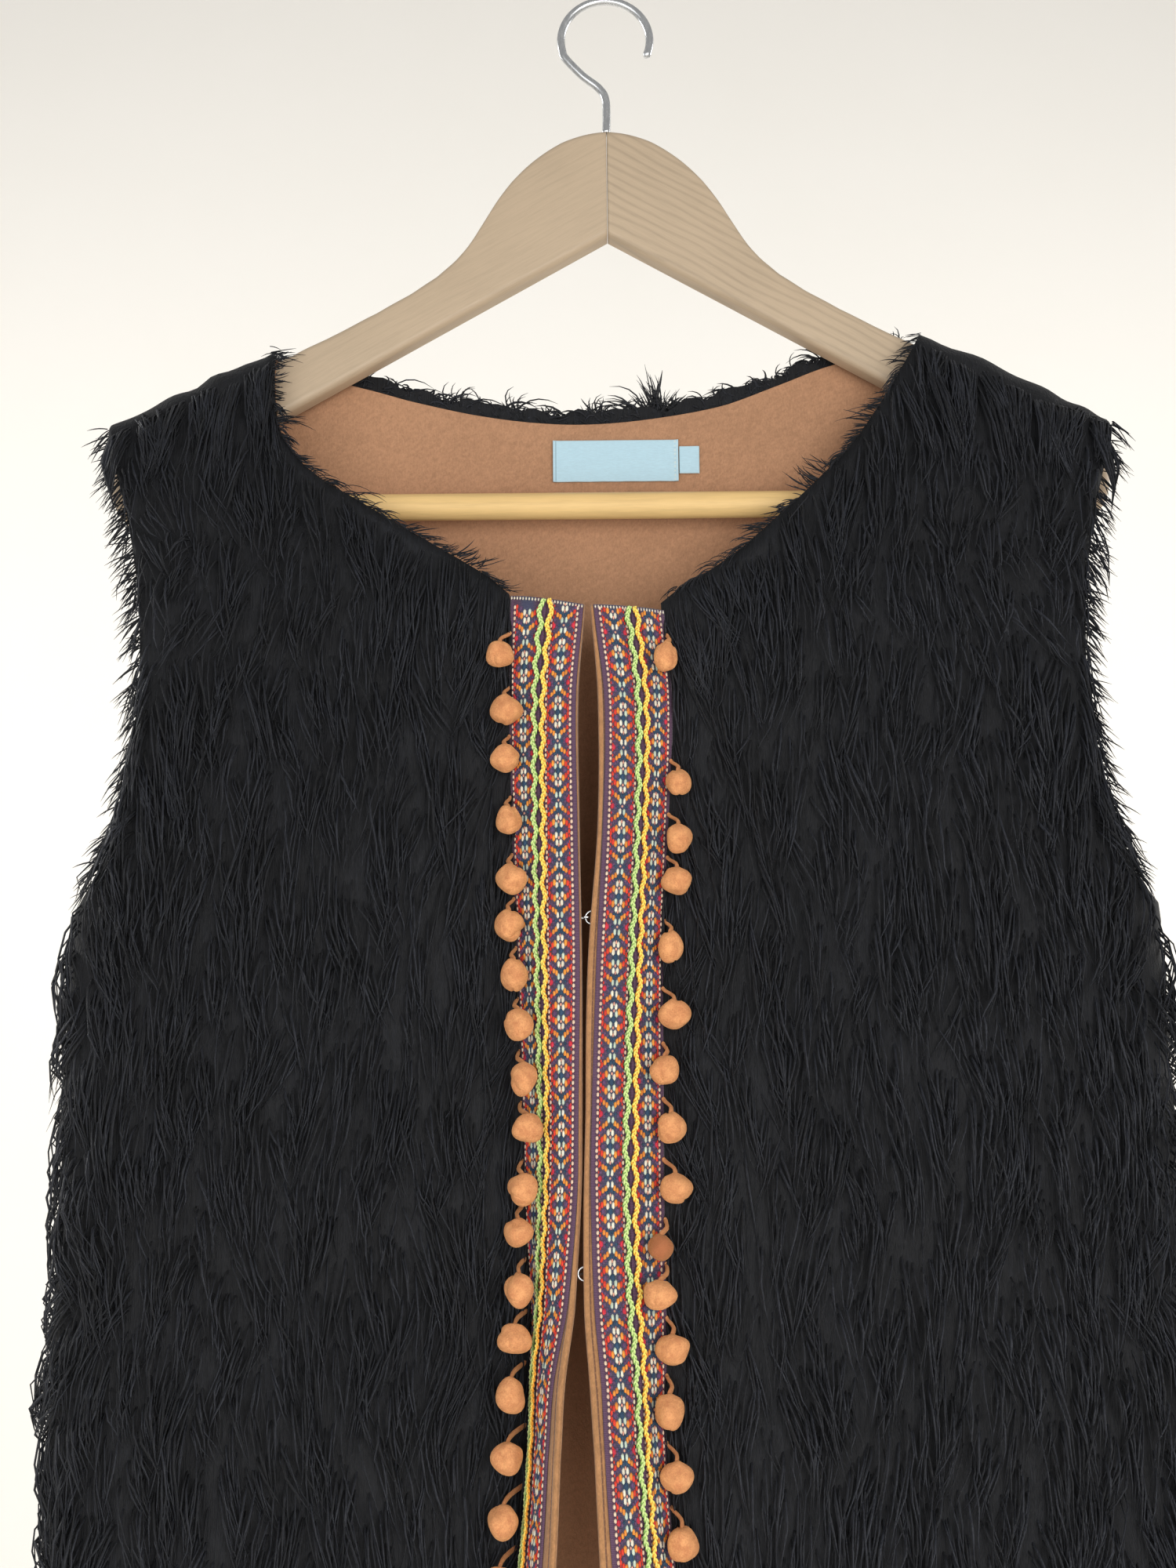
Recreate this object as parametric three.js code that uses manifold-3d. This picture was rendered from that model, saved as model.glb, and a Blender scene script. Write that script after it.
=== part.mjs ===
// A fur vest with woven ribbon bands, hanging on a wooden hanger.
// Millimetres, +Z up, +X to the viewer's right, the vest's front faces -Y.
// The origin is the inside top of the hanger's hook, where a rail carries it.
// Left and right are the viewer's left and right.

import * as THREE from 'three';
import Module from 'manifold-3d';
import { mergeVertices } from 'three/addons/utils/BufferGeometryUtils.js';

// Driving dimensions

const SEAM_GAP = 0.3;

const HOOK_WIRE = 3.8;
const HOOK_BEND = 19;
const HOOK_NECK = 68;
const HOOK_ARC = { from: -25, to: 205, step: 23 };
const HOOK_SHANK = [{ x: -11, z: -37 }, { x: -3, z: -44 }, { x: 0, z: -51 }];

const HANGER_THICKNESS = 12;
const HANGER_EDGE_ROUNDING = 4;
const HANGER_DOME = 53;
const ARM_TIP = 222;
const BAR_DROP = 129;
const BAR_DIAMETER = 12;
const BAR_END = 198;

const NECK_LEFT = 150;
const NECK_RIGHT = 140;
const SHOULDER_END = 222;
const UNDERARM_Z = -436;
const LINING_HEM_Z = -765;
const FUR_HEM_Z = -776;
const BODY_HALF_WIDTH = 226;
const SHOULDER_ROUNDING = 8;
const SHOULDER_EDGE_LEAN = 0.45;
const SHOULDER_LEVELS_OUT_Z = -345;
const SIDES_CLOSED_FROM_Z = -250;
const SIDE_SEAM_TOP_Z = UNDERARM_Z + 6;
const SIDE_SPREAD = 1.7;
const CLOTH_CLEARANCE = 1.5;

const LINING_THICKNESS = 1.4;
const FUR_THICKNESS = 10.5;
const FUR_AT_BAND = 2.6;
const FUR_AT_OPENING = 0.62;
const FUR_AT_SIDE = 0.9;
const FUR_AT_HEM = 0.55;
const LOCK_WAVE = { across: 0.11, bend: 0.043, down: 0.087, lean: 0.029, round: 0.05 };
const LOCK_SHARE = 0.28;
const FUR_STANDS_ABOVE_NECK = 7;

const BAND_TOP_Z = -299;
const BOUND_TO_BAND_Z = -255;
const EDGE_THICKNESS = 2.4;
const EDGE_NOSE = 0.9;
const RIBBON_WIDTH = 15.4;
const RIBBON_THICKNESS = 0.9;
const BAND_WIDTH = 2 * RIBBON_WIDTH + SEAM_GAP;
const CORD_DIAMETER = 2;
const BRAID_REPEAT = 11.2;
const BRAID_OPENING = 3;
const BRAID_REACH = 4.5;

const POMPOM_DIAMETER = 13.5;
const STEM_DIAMETER = 2.4;
const CLASP_WIRE = 1;
const CLASP_RING = 2.6;
const CLASP_PASS = 1.4;
const CLASP_SEWN = [9, 4];

const LABEL = { left: -25.9, right: 31.3, top: -215, bottom: -234 };
const SIZE_TAB = { left: 31.7, right: 40.9, top: -218, bottom: -230.5 };
const LABEL_THICKNESS = 0.6;

// Hanger: upper edge of the arms, measured from the underside's apex

const APEX_Z = -(HOOK_NECK + HANGER_DOME);
const ARM_UPPER_EDGE = [
  { x: 0, z: HANGER_DOME }, { x: 10, z: 51.5 }, { x: 20, z: 48 }, { x: 28, z: 43 },
  { x: 36, z: 36.5 }, { x: 44, z: 28 }, { x: 51, z: 18 }, { x: 58, z: 6 },
  { x: 64, z: -4 }, { x: 70, z: -11.5 }, { x: 78, z: -19 }, { x: 90, z: -27.5 },
  { x: 105, z: -36.5 }, { x: 125, z: -47.5 }, { x: 143, z: -57 }, { x: 170, z: -71 },
  { x: 200, z: -87 }, { x: 214, z: -96 }, { x: ARM_TIP, z: -106 },
];
const ARM_LOBE = [
  { x: 224, z: -122 }, { x: 219, z: -135 }, { x: 208, z: -141 }, { x: BAR_END + SEAM_GAP, z: -141 },
  { x: BAR_END + SEAM_GAP, z: -116.5 },
];

// Front bands: one row for each height. x and y place the front edge, margin is the
// bare suede beside the inner ribbon, and the turns are how far the band's face looks
// away from the viewer, in degrees, at its front edge, its braid and its outer edge.

const BAND = {
  left: [
    { z: -299, x: -11.7, y: -25, margin: 0.4, edge: 0, braid: 5, outer: 32 },
    { z: -345, x: -15, y: -27, margin: 0.2, edge: 16, braid: 22, outer: 44 },
    { z: -400, x: -14.9, y: -29, margin: 0.2, edge: 14, braid: 28, outer: 50 },
    { z: -460, x: -14.3, y: -31, margin: 0.2, edge: 15, braid: 37, outer: 56 },
    { z: -521, x: -14.6, y: -34, margin: 0.2, edge: 31, braid: 43, outer: 57 },
    { z: -554, x: -15.3, y: -37, margin: 0.3, edge: 32, braid: 49, outer: 63 },
    { z: -597, x: -18.2, y: -42, margin: 1.5, edge: 41, braid: 66, outer: 78 },
    { z: -624, x: -22.1, y: -49, margin: 3.6, edge: 52, braid: 76, outer: 81 },
    { z: -650, x: -23.8, y: -56, margin: 4.7, edge: 57, braid: 79, outer: 84 },
    { z: -700, x: -26.7, y: -59, margin: 5.3, edge: 53, braid: 75, outer: 80 },
    { z: -776, x: -33.1, y: -59, margin: 5.8, edge: 46, braid: 67, outer: 73 },
  ],
  right: [
    { z: -299, x: -9.7, y: -25, margin: 0.8, edge: 6, braid: 17, outer: 30 },
    { z: -345, x: -6.2, y: -27, margin: 1.6, edge: 10, braid: 25, outer: 34 },
    { z: -400, x: -7, y: -29, margin: 1.2, edge: 13, braid: 33, outer: 42 },
    { z: -460, x: -11.3, y: -31, margin: 2.2, edge: 10, braid: 31, outer: 44 },
    { z: -521, x: -12.9, y: -34, margin: 1.4, edge: 12, braid: 22, outer: 38 },
    { z: -554, x: -13.8, y: -37, margin: 1.7, edge: 12, braid: 21, outer: 38 },
    { z: -597, x: -13.9, y: -42, margin: 2.8, edge: 14, braid: 26, outer: 43 },
    { z: -624, x: -12.1, y: -48, margin: 3.1, edge: 17, braid: 38, outer: 52 },
    { z: -650, x: -10.5, y: -54, margin: 2.6, edge: 19, braid: 44, outer: 58 },
    { z: -700, x: -8.2, y: -57, margin: 3.4, edge: 18, braid: 43, outer: 57 },
    { z: -776, x: -4.5, y: -57, margin: 4.1, edge: 17, braid: 38, outer: 52 },
  ],
};

// Front neckline: how far from the centre the fronts begin, above the bands

const NECKLINE = {
  left: [
    { z: -178, x: 150 }, { z: -196, x: 150 }, { z: -214, x: 148 }, { z: -226, x: 143 },
    { z: -240, x: 131 }, { z: -254, x: 110 }, { z: -266, x: 92 }, { z: -276, x: 76 },
    { z: -287, x: 57 }, { z: -299, x: 43.6 },
  ],
  right: [
    { z: -172, x: 140 }, { z: -196, x: 128 }, { z: -212, x: 118 }, { z: -228, x: 107 },
    { z: -241, x: 95 }, { z: -254, x: 82 }, { z: -266, x: 69 }, { z: -276, x: 58 },
    { z: -287, x: 42 }, { z: -299, x: 22.7 },
  ],
};

// Seam of the back neckline; it ends where the cloth passes over the hanger's arms

const NECK_SEAM = [
  { x: -NECK_LEFT, z: shoulderTop(NECK_LEFT) }, { x: -132, z: -184.5 }, { x: -115.8, z: -188.5 },
  { x: -89.8, z: -195.8 }, { x: -60.7, z: -202.4 }, { x: -32, z: -206.3 }, { x: -7, z: -207 },
  { x: 21.8, z: -204.4 }, { x: 52, z: -198.9 }, { x: 77.5, z: -189.5 }, { x: 103.4, z: -179.8 },
  { x: 122, z: -176.4 }, { x: NECK_RIGHT, z: shoulderTop(NECK_RIGHT) },
];

// Outer edge of the fronts and the back: the armhole, then the side seam

const ARMHOLE = [
  { z: -222, x: SHOULDER_END }, { z: -260, x: 212 }, { z: -300, x: 205 }, { z: -340, x: 203 },
  { z: -380, x: 207 }, { z: -410, x: 214 }, { z: -425, x: 220 },
  { z: UNDERARM_Z, x: BODY_HALF_WIDTH },
];

// How far the cloth stands off the hanger's plane, in front and behind

const FULLNESS = [
  { z: -178, front: 0, back: 0 }, { z: -206, front: 1, back: 2 }, { z: -250, front: 5, back: 7 },
  { z: -300, front: 9, back: 12 }, { z: -400, front: 14, back: 19 },
  { z: -500, front: 18, back: 23 }, { z: -600, front: 20, back: 25 },
  { z: -776, front: 22, back: 26 },
];

// Pompoms: heights of their centres and how far they lie from the centre line

const POMPOMS = {
  left: [
    { z: -326, x: 48.4 }, { z: -350, x: 45.7 }, { z: -371, x: 46.0 }, { z: -398, x: 44.6 },
    { z: -423, x: 43.3 }, { z: -442, x: 44.5 }, { z: -463, x: 42.3 }, { z: -484, x: 40.3 },
    { z: -506, x: 38.4 }, { z: -526, x: 36.5 }, { z: -550, x: 38.7 }, { z: -567, x: 40.5 },
    { z: -589, x: 40.2 }, { z: -608, x: 42.1 }, { z: -629, x: 43.5 }, { z: -652, x: 44.8 },
    { z: -675, x: 46.2 },
  ],
  right: [
    { z: -328, x: 22.3 }, { z: -382, x: 26.9 }, { z: -406, x: 26.7 }, { z: -424, x: 25.7 },
    { z: -452, x: 22.3 }, { z: -480, x: 23.6 }, { z: -503, x: 18.8 }, { z: -526, x: 21.1 },
    { z: -550, x: 22.5 }, { z: -573, x: 15.9 }, { z: -591, x: 15.1 }, { z: -612, x: 20.0 },
    { z: -635, x: 18.2 }, { z: -659, x: 20.7 }, { z: -683, x: 22.2 }, { z: -707, x: 23.8 },
    { z: -731, x: 25.4 },
  ],
};

const CLASPS = [{ name: 'upper', z: -440 }, { name: 'lower', z: -583 }];

const COLOURS = {
  wood: { color: 0xc6b399, roughness: 0.55, metalness: 0 },
  steel: { color: 0xb9bcc0, roughness: 0.25, metalness: 1 },
  fur: { color: 0x15171b, roughness: 0.9, metalness: 0 },
  suede: { color: 0xb08862, roughness: 0.95, metalness: 0 },
  edging: { color: 0xb98c62, roughness: 0.9, metalness: 0 },
  ribbonInner: { color: 0xb5404a, roughness: 0.8, metalness: 0 },
  ribbonOuter: { color: 0x6a3f63, roughness: 0.8, metalness: 0 },
  lime: { color: 0xcfe58a, roughness: 0.7, metalness: 0 },
  yellow: { color: 0xf2b93c, roughness: 0.7, metalness: 0 },
  pompom: { color: 0xf0965c, roughness: 0.95, metalness: 0 },
  label: { color: 0xb7d3db, roughness: 0.8, metalness: 0 },
};

// Small helpers

function lookup(rows, column, at, key = 'z') {
  const list = rows[0][key] > rows[rows.length - 1][key] ? rows : [...rows].reverse();
  if (at >= list[0][key]) return list[0][column];
  const last = list.length - 1;
  if (at <= list[last][key]) return list[last][column];
  let i = 0;
  while (list[i + 1][key] > at) i += 1;
  const before = list[Math.max(i - 1, 0)][column];
  const from = list[i][column];
  const to = list[i + 1][column];
  const after = list[Math.min(i + 2, last)][column];
  const t = (list[i][key] - at) / (list[i][key] - list[i + 1][key]);
  const smooth = from + (to - from) * (3 * t * t - 2 * t * t * t);
  const slopes = 0.5 * ((to - before) * (t * (1 - t) ** 2) - (after - from) * (t * t * (1 - t)));
  return smooth + slopes;
}

function alongEdge(x) {
  const far = Math.abs(x);
  const last = ARM_UPPER_EDGE.length - 1;
  if (far >= ARM_UPPER_EDGE[last - 2].x) {
    return ARM_UPPER_EDGE[last - 2].z - 0.53 * (far - ARM_UPPER_EDGE[last - 2].x);
  }
  let i = 0;
  while (ARM_UPPER_EDGE[i + 1].x < far) i += 1;
  const t = (far - ARM_UPPER_EDGE[i].x) / (ARM_UPPER_EDGE[i + 1].x - ARM_UPPER_EDGE[i].x);
  return THREE.MathUtils.lerp(ARM_UPPER_EDGE[i].z, ARM_UPPER_EDGE[i + 1].z, t);
}

function shoulderTop(x) {
  return APEX_Z + alongEdge(x) + CLOTH_CLEARANCE;
}

const smoothstep = THREE.MathUtils.smoothstep;
const lerp = THREE.MathUtils.lerp;
const sideSign = { left: -1, right: 1 };

function material(name) {
  return new THREE.MeshStandardMaterial(COLOURS[name]);
}

function solid(name, geometry, finish) {
  const mesh = new THREE.Mesh(geometry, material(finish));
  mesh.name = name;
  return mesh;
}

// Closed wall between two grids of points, grid[row][column], near first

function wall(near, far) {
  const rows = near.length;
  const columns = near[0].length;
  const positions = [];
  for (const grid of [near, far]) {
    for (const row of grid) {
      for (const point of row) positions.push(point.x, point.y, point.z);
    }
  }
  const at = (side, r, c) => side * rows * columns + r * columns + c;
  const faces = [];
  const quad = (a, b, c, d) => faces.push(a, b, c, a, c, d);
  for (let r = 0; r < rows - 1; r += 1) {
    for (let c = 0; c < columns - 1; c += 1) {
      quad(at(0, r, c), at(0, r, c + 1), at(0, r + 1, c + 1), at(0, r + 1, c));
      quad(at(1, r, c), at(1, r + 1, c), at(1, r + 1, c + 1), at(1, r, c + 1));
    }
  }
  for (let c = 0; c < columns - 1; c += 1) {
    quad(at(0, 0, c), at(1, 0, c), at(1, 0, c + 1), at(0, 0, c + 1));
    quad(at(0, rows - 1, c + 1), at(1, rows - 1, c + 1), at(1, rows - 1, c), at(0, rows - 1, c));
  }
  for (let r = 0; r < rows - 1; r += 1) {
    quad(at(0, r + 1, 0), at(1, r + 1, 0), at(1, r, 0), at(0, r, 0));
    quad(at(0, r, columns - 1), at(1, r, columns - 1), at(1, r + 1, columns - 1),
      at(0, r + 1, columns - 1));
  }
  const geometry = new THREE.BufferGeometry();
  geometry.setAttribute('position', new THREE.Float32BufferAttribute(positions, 3));
  geometry.setIndex(faces);
  return facingOut(geometry);
}

function facingOut(geometry) {
  const index = geometry.index;
  const position = geometry.attributes.position;
  const corners = [new THREE.Vector3(), new THREE.Vector3(), new THREE.Vector3()];
  let volume = 0;
  for (let i = 0; i < index.count; i += 3) {
    corners.forEach((corner, k) => corner.fromBufferAttribute(position, index.getX(i + k)));
    volume += corners[0].dot(corners[1].clone().cross(corners[2]));
  }
  if (volume < 0) {
    for (let i = 0; i < index.count; i += 3) {
      const swapped = index.getX(i);
      index.setX(i, index.getX(i + 1));
      index.setX(i + 1, swapped);
    }
  }
  return geometry;
}

// Tube along a list of points, with flat ends

function tube(points, diameter, sides, steps) {
  const section = new THREE.Shape();
  for (let i = 0; i < sides; i += 1) {
    const angle = (i / sides) * 2 * Math.PI;
    const move = i === 0 ? 'moveTo' : 'lineTo';
    section[move](diameter / 2 * Math.cos(angle), diameter / 2 * Math.sin(angle));
  }
  const path = new THREE.CatmullRomCurve3(points, false, 'centripetal');
  return new THREE.ExtrudeGeometry(section, { steps, extrudePath: path });
}

// Hanger

function hangerArm(side) {
  const sign = sideSign[side];
  const outline = new THREE.Shape();
  const inset = SEAM_GAP / 2;
  outline.moveTo(sign * inset, 0);
  for (const point of ARM_UPPER_EDGE) outline.lineTo(sign * Math.max(point.x, inset), point.z);
  for (const point of ARM_LOBE) outline.lineTo(sign * point.x, point.z);
  const geometry = new THREE.ExtrudeGeometry(outline, {
    depth: HANGER_THICKNESS - 2 * HANGER_EDGE_ROUNDING,
    bevelThickness: HANGER_EDGE_ROUNDING,
    bevelSize: HANGER_EDGE_ROUNDING,
    bevelOffset: -HANGER_EDGE_ROUNDING,
    bevelSegments: 3,
    curveSegments: 1,
  });
  const mesh = solid(`hanger_arm_${side}`, geometry, 'wood');
  mesh.rotation.x = Math.PI / 2;
  mesh.position.set(0, HANGER_THICKNESS / 2 - HANGER_EDGE_ROUNDING, APEX_Z);
  return mesh;
}

function hangerBar() {
  const mesh = solid('hanger_bar', new THREE.CylinderGeometry(
    BAR_DIAMETER / 2, BAR_DIAMETER / 2, 2 * BAR_END - SEAM_GAP, 14,
  ), 'wood');
  mesh.rotation.z = Math.PI / 2;
  mesh.position.z = APEX_Z - BAR_DROP;
  return mesh;
}

function hangerHook() {
  const bend = HOOK_BEND + HOOK_WIRE / 2;
  const points = [];
  for (let degrees = HOOK_ARC.from; degrees <= HOOK_ARC.to; degrees += HOOK_ARC.step) {
    const angle = THREE.MathUtils.degToRad(degrees);
    points.push(new THREE.Vector3(bend * Math.cos(angle), 0, bend * Math.sin(angle) - HOOK_BEND));
  }
  for (const point of HOOK_SHANK) points.push(new THREE.Vector3(point.x, 0, point.z));
  points.push(new THREE.Vector3(0, 0, -HOOK_NECK + 2 * SEAM_GAP));
  return solid('hanger_hook', tube(points, HOOK_WIRE, 8, 34), 'steel');
}

// The body's cloth surface: its inside face, and how it lies

function armholeX(z) {
  return z > UNDERARM_Z ? lookup(ARMHOLE, 'x', z) : BODY_HALF_WIDTH;
}

function depthAt(x, z, column) {
  const drop = Math.max(shoulderTop(x) - z, 0);
  const round = 1 - Math.min(drop / SHOULDER_ROUNDING, 1);
  const overShoulder = SHOULDER_ROUNDING * Math.sqrt(1 - round * round);
  const across = Math.min(Math.abs(x) / BODY_HALF_WIDTH, 1);
  const closing = (1 - across ** 4) ** 0.25;
  const closed = 1 - smoothstep(z, UNDERARM_Z, SIDES_CLOSED_FROM_Z);
  return (overShoulder + lookup(FULLNESS, column, z)) * lerp(1, closing, closed);
}

function sideSpread(u) {
  return 1 - (1 - u) ** SIDE_SPREAD;
}

// A point of a front band: w runs outward from the front edge, raise stands off its face

function bandPoint(side, w, z, raise) {
  const rows = BAND[side];
  const sign = sideSign[side];
  const braidAt = lookup(rows, 'margin', z) + RIBBON_WIDTH;
  const turns = ['edge', 'braid', 'outer'].map((column) => lookup(rows, column, z));
  const turnAt = (across) => THREE.MathUtils.degToRad(across < braidAt
    ? lerp(turns[0], turns[1], Math.max(across, 0) / braidAt)
    : lerp(turns[1], turns[2], Math.min((across - braidAt) / RIBBON_WIDTH, 1.2)));
  let x = lookup(rows, 'x', z);
  let y = lookup(rows, 'y', z);
  const steps = 16;
  for (let i = 0; i < steps; i += 1) {
    const turn = turnAt(w * (i + 0.5) / steps);
    x += sign * Math.cos(turn) * w / steps;
    y += Math.sin(turn) * w / steps;
  }
  const turn = turnAt(w);
  const normal = new THREE.Vector3(sign * Math.sin(turn), -Math.cos(turn), 0);
  return { point: new THREE.Vector3(x, y, z).addScaledVector(normal, raise), normal };
}

function bandEnd(side, z) {
  return lookup(BAND[side], 'margin', z) + BAND_WIDTH + 2 * SEAM_GAP;
}

// Rows of the panels: close together where the cloth bends over the hanger

const TOP_DROPS = [0, 1.6, 4.6, 10];
const BAND_STEPS = 20;
const NECK_STEPS = 10;

function bandHeights(hem) {
  const heights = [];
  for (let i = 0; i <= BAND_STEPS; i += 1) heights.push(lerp(BAND_TOP_Z, hem, i / BAND_STEPS));
  return heights;
}

function frontHeights(side, hem) {
  const neck = side === 'left' ? NECK_LEFT : NECK_RIGHT;
  const top = shoulderTop(neck);
  const heights = TOP_DROPS.map((drop) => top - drop);
  const bend = heights.length - 1;
  const last = heights[bend];
  for (let i = bend + 1; i < NECK_STEPS; i += 1) {
    heights.push(lerp(last, BAND_TOP_Z, (i - bend) / (NECK_STEPS - bend)));
  }
  return heights.concat(bandHeights(hem));
}

function frontGrid(side, hem) {
  const sign = sideSign[side];
  const columns = 8;
  const points = [];
  const heights = frontHeights(side, hem);
  const neck = side === 'left' ? NECK_LEFT : NECK_RIGHT;
  const shoulderFall = shoulderTop(neck) - shoulderTop(SHOULDER_END);
  for (const z of heights) {
    const row = [];
    const onBand = z <= BAND_TOP_Z;
    const end = bandPoint(side, bandEnd(side, Math.min(z, BAND_TOP_Z)), Math.min(z, BAND_TOP_Z), 0);
    const inner = onBand ? Math.abs(end.point.x) : lookup(NECKLINE[side], 'x', z);
    const fall = shoulderFall * smoothstep(z, SHOULDER_LEVELS_OUT_Z, heights[0]);
    const outer = armholeX(z - fall);
    for (let c = 0; c < columns; c += 1) {
      const u = c / (columns - 1);
      const x = sign * lerp(inner, outer, sideSpread(u));
      const height = z - fall * sideSpread(u);
      const bound = (1 - smoothstep(z, BAND_TOP_Z, BOUND_TO_BAND_Z)) * (1 - u) ** 3;
      const open = z === heights[0] ? 0 : depthAt(x, height, 'front');
      const y = -SEAM_GAP / 2 - lerp(open, -end.point.y, bound);
      row.push(new THREE.Vector3(x, y, height));
    }
    points.push(row);
  }
  return points;
}

const BACK_STEPS = 18;

// Columns of the back, as shares of its half width: close together at the neck point
// and at the side seam

function backShares(reach) {
  const neck = [0.3 * reach, 0.6 * reach, 0.86 * reach, reach - 6, reach - 2, reach];
  const shoulder = [0.4, 0.8, 0.945, 1].map((t) => lerp(reach, SHOULDER_END, t));
  return [...neck, ...shoulder].map((x) => x / SHOULDER_END);
}

function backGrid(hem) {
  const points = [];
  const left = backShares(NECK_LEFT).map((share) => -share).reverse();
  const spread = [...left, 0, ...backShares(NECK_RIGHT)];
  const bend = TOP_DROPS.length - 1;
  for (let r = 0; r <= BACK_STEPS; r += 1) {
    const row = spread.map((share) => {
      const topX = share * SHOULDER_END;
      const reach = share < 0 ? NECK_LEFT : NECK_RIGHT;
      const onNeck = Math.abs(topX) < reach - 0.01;
      const top = onNeck ? lookup(NECK_SEAM, 'z', topX, 'x') : shoulderTop(topX);
      const t = Math.max(r - bend, 0) / (BACK_STEPS - bend);
      const z = lerp(top - TOP_DROPS[Math.min(r, bend)], hem, t ** 1.15);
      const x = share * armholeX(z);
      const open = r === 0 && !onNeck ? 0 : depthAt(x, z, 'back');
      return new THREE.Vector3(x, SEAM_GAP / 2 + open, z);
    });
    points.push(row);
  }
  return points;
}

// Outward directions of a grid, which point away from the hollow body

function directions(grid, facing, fixed) {
  const rows = grid.length;
  const columns = grid[0].length;
  return grid.map((row, r) => row.map((point, c) => {
    const held = fixed(r, c, point);
    if (held) return held;
    const down = grid[Math.min(r + 1, rows - 1)][c].clone().sub(grid[Math.max(r - 1, 0)][c]);
    const across = grid[r][Math.min(c + 1, columns - 1)].clone().sub(grid[r][Math.max(c - 1, 0)]);
    const normal = across.cross(down).normalize();
    return normal.y * facing < 0 ? normal.negate() : normal;
  }));
}

function shoulderEdgeDirection(sign) {
  return new THREE.Vector3(sign * SHOULDER_EDGE_LEAN, 0, 2 * SHOULDER_EDGE_LEAN).normalize();
}

function sideDirection(point) {
  return new THREE.Vector3(Math.sign(point.x), 0, 0);
}

function frontDirections(side, grid) {
  const columns = grid[0].length;
  return directions(grid, -1, (r, c, point) => {
    if (c === columns - 1 && point.z < SIDE_SEAM_TOP_Z) return sideDirection(point);
    if (c === 0 && grid[r][0].z <= BAND_TOP_Z) {
      return bandPoint(side, bandEnd(side, point.z), point.z, 0).normal;
    }
    return r === 0 ? shoulderEdgeDirection(sideSign[side]) : null;
  });
}

function backDirections(grid) {
  const columns = grid[0].length;
  return directions(grid, 1, (r, c, point) => {
    if ((c === 0 || c === columns - 1) && point.z < SIDE_SEAM_TOP_Z) return sideDirection(point);
    if (r > 0 || point.y > SEAM_GAP) return null;
    return shoulderEdgeDirection(Math.sign(point.x));
  });
}

function offsetGrid(grid, normals, distance) {
  return grid.map((row, r) => row.map((point, c) => {
    const off = typeof distance === 'function' ? distance(point, r, c) : distance;
    return point.clone().addScaledVector(normals[r][c], off);
  }));
}

// Fur stands in uneven locks, thinner at the openings and under the bands

function lock(point) {
  const { across, bend, down, lean, round } = LOCK_WAVE;
  const a = Math.sin(point.x * across + 1.7 * Math.sin(point.z * bend));
  const b = Math.sin(point.z * down + point.x * lean + point.y * round);
  return 0.5 + 0.25 * (a + b);
}

function furDepth(point, edge) {
  const full = FUR_THICKNESS * (1 - LOCK_SHARE + LOCK_SHARE * lock(point));
  return LINING_THICKNESS + SEAM_GAP + full * edge;
}

function frontFurDepth(side, columns, rows) {
  return (point, r, c) => {
    const band = point.z <= BAND_TOP_Z + 20;
    const inner = band ? FUR_AT_BAND / FUR_THICKNESS : FUR_AT_OPENING;
    const outer = point.z > SIDE_SEAM_TOP_Z ? FUR_AT_OPENING : FUR_AT_SIDE;
    const u = sideSpread(c / (columns - 1));
    const fromInner = lerp(inner, 1, smoothstep(u, 0, 0.24));
    const fromOuter = lerp(outer, 1, smoothstep(1 - u, 0, 0.12));
    const hem = lerp(FUR_AT_HEM, 1, smoothstep(rows - 1 - r, 0, 1.5));
    return furDepth(point, Math.min(fromInner, fromOuter) * hem);
  };
}

function backFurDepth(columns, rows) {
  return (point, r, c) => {
    const u = Math.abs(2 * c / (columns - 1) - 1);
    const outer = point.z > SIDE_SEAM_TOP_Z ? FUR_AT_OPENING : FUR_AT_SIDE;
    const fromOuter = lerp(outer, 1, smoothstep(1 - u, 0, 0.12));
    const neck = lerp(FUR_AT_OPENING, 1, smoothstep(r, 0, 2));
    const hem = lerp(FUR_AT_HEM, 1, smoothstep(rows - 1 - r, 0, 1.5));
    return furDepth(point, Math.min(fromOuter, neck) * hem);
  };
}

function frontPanels(side) {
  const liningGrid = frontGrid(side, LINING_HEM_Z);
  const liningNormals = frontDirections(side, liningGrid);
  const lining = wall(liningGrid, offsetGrid(liningGrid, liningNormals, LINING_THICKNESS));
  const { grid: furGrid, normals: furNormals } = withFurHem(liningGrid, liningNormals);
  const near = offsetGrid(furGrid, furNormals, overLining);
  const depth = frontFurDepth(side, furGrid[0].length, furGrid.length);
  const far = offsetGrid(furGrid, furNormals, depth);
  return { lining, fur: wall(near, far), furFace: far };
}

// The fur's inside face clears the lining, by more where both bend over the hanger

function overLining(point, r) {
  return LINING_THICKNESS + (r < TOP_DROPS.length ? 2 * SEAM_GAP : SEAM_GAP);
}

// The fur follows the lining and reaches below it

function withFurHem(liningGrid, liningNormals) {
  const grid = liningGrid.map((row) => row.map((point) => point.clone()));
  const lastNormals = liningNormals[liningNormals.length - 1];
  grid.push(grid[grid.length - 1].map((point) => new THREE.Vector3(point.x, point.y, FUR_HEM_Z)));
  return { grid, normals: [...liningNormals, lastNormals] };
}

function backPanels() {
  const liningGrid = backGrid(LINING_HEM_Z);
  const liningNormals = backDirections(liningGrid);
  const lining = wall(liningGrid, offsetGrid(liningGrid, liningNormals, LINING_THICKNESS));
  const { grid: furGrid, normals: furNormals } = withFurHem(liningGrid, liningNormals);
  furGrid[0].forEach((point) => {
    if (point.y > SEAM_GAP) point.z += FUR_STANDS_ABOVE_NECK * Math.min(1, (point.y - SEAM_GAP) / 4);
  });
  const near = offsetGrid(furGrid, furNormals, overLining);
  const depth = backFurDepth(furGrid[0].length, furGrid.length);
  return { lining, fur: wall(near, offsetGrid(furGrid, furNormals, depth)) };
}

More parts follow.
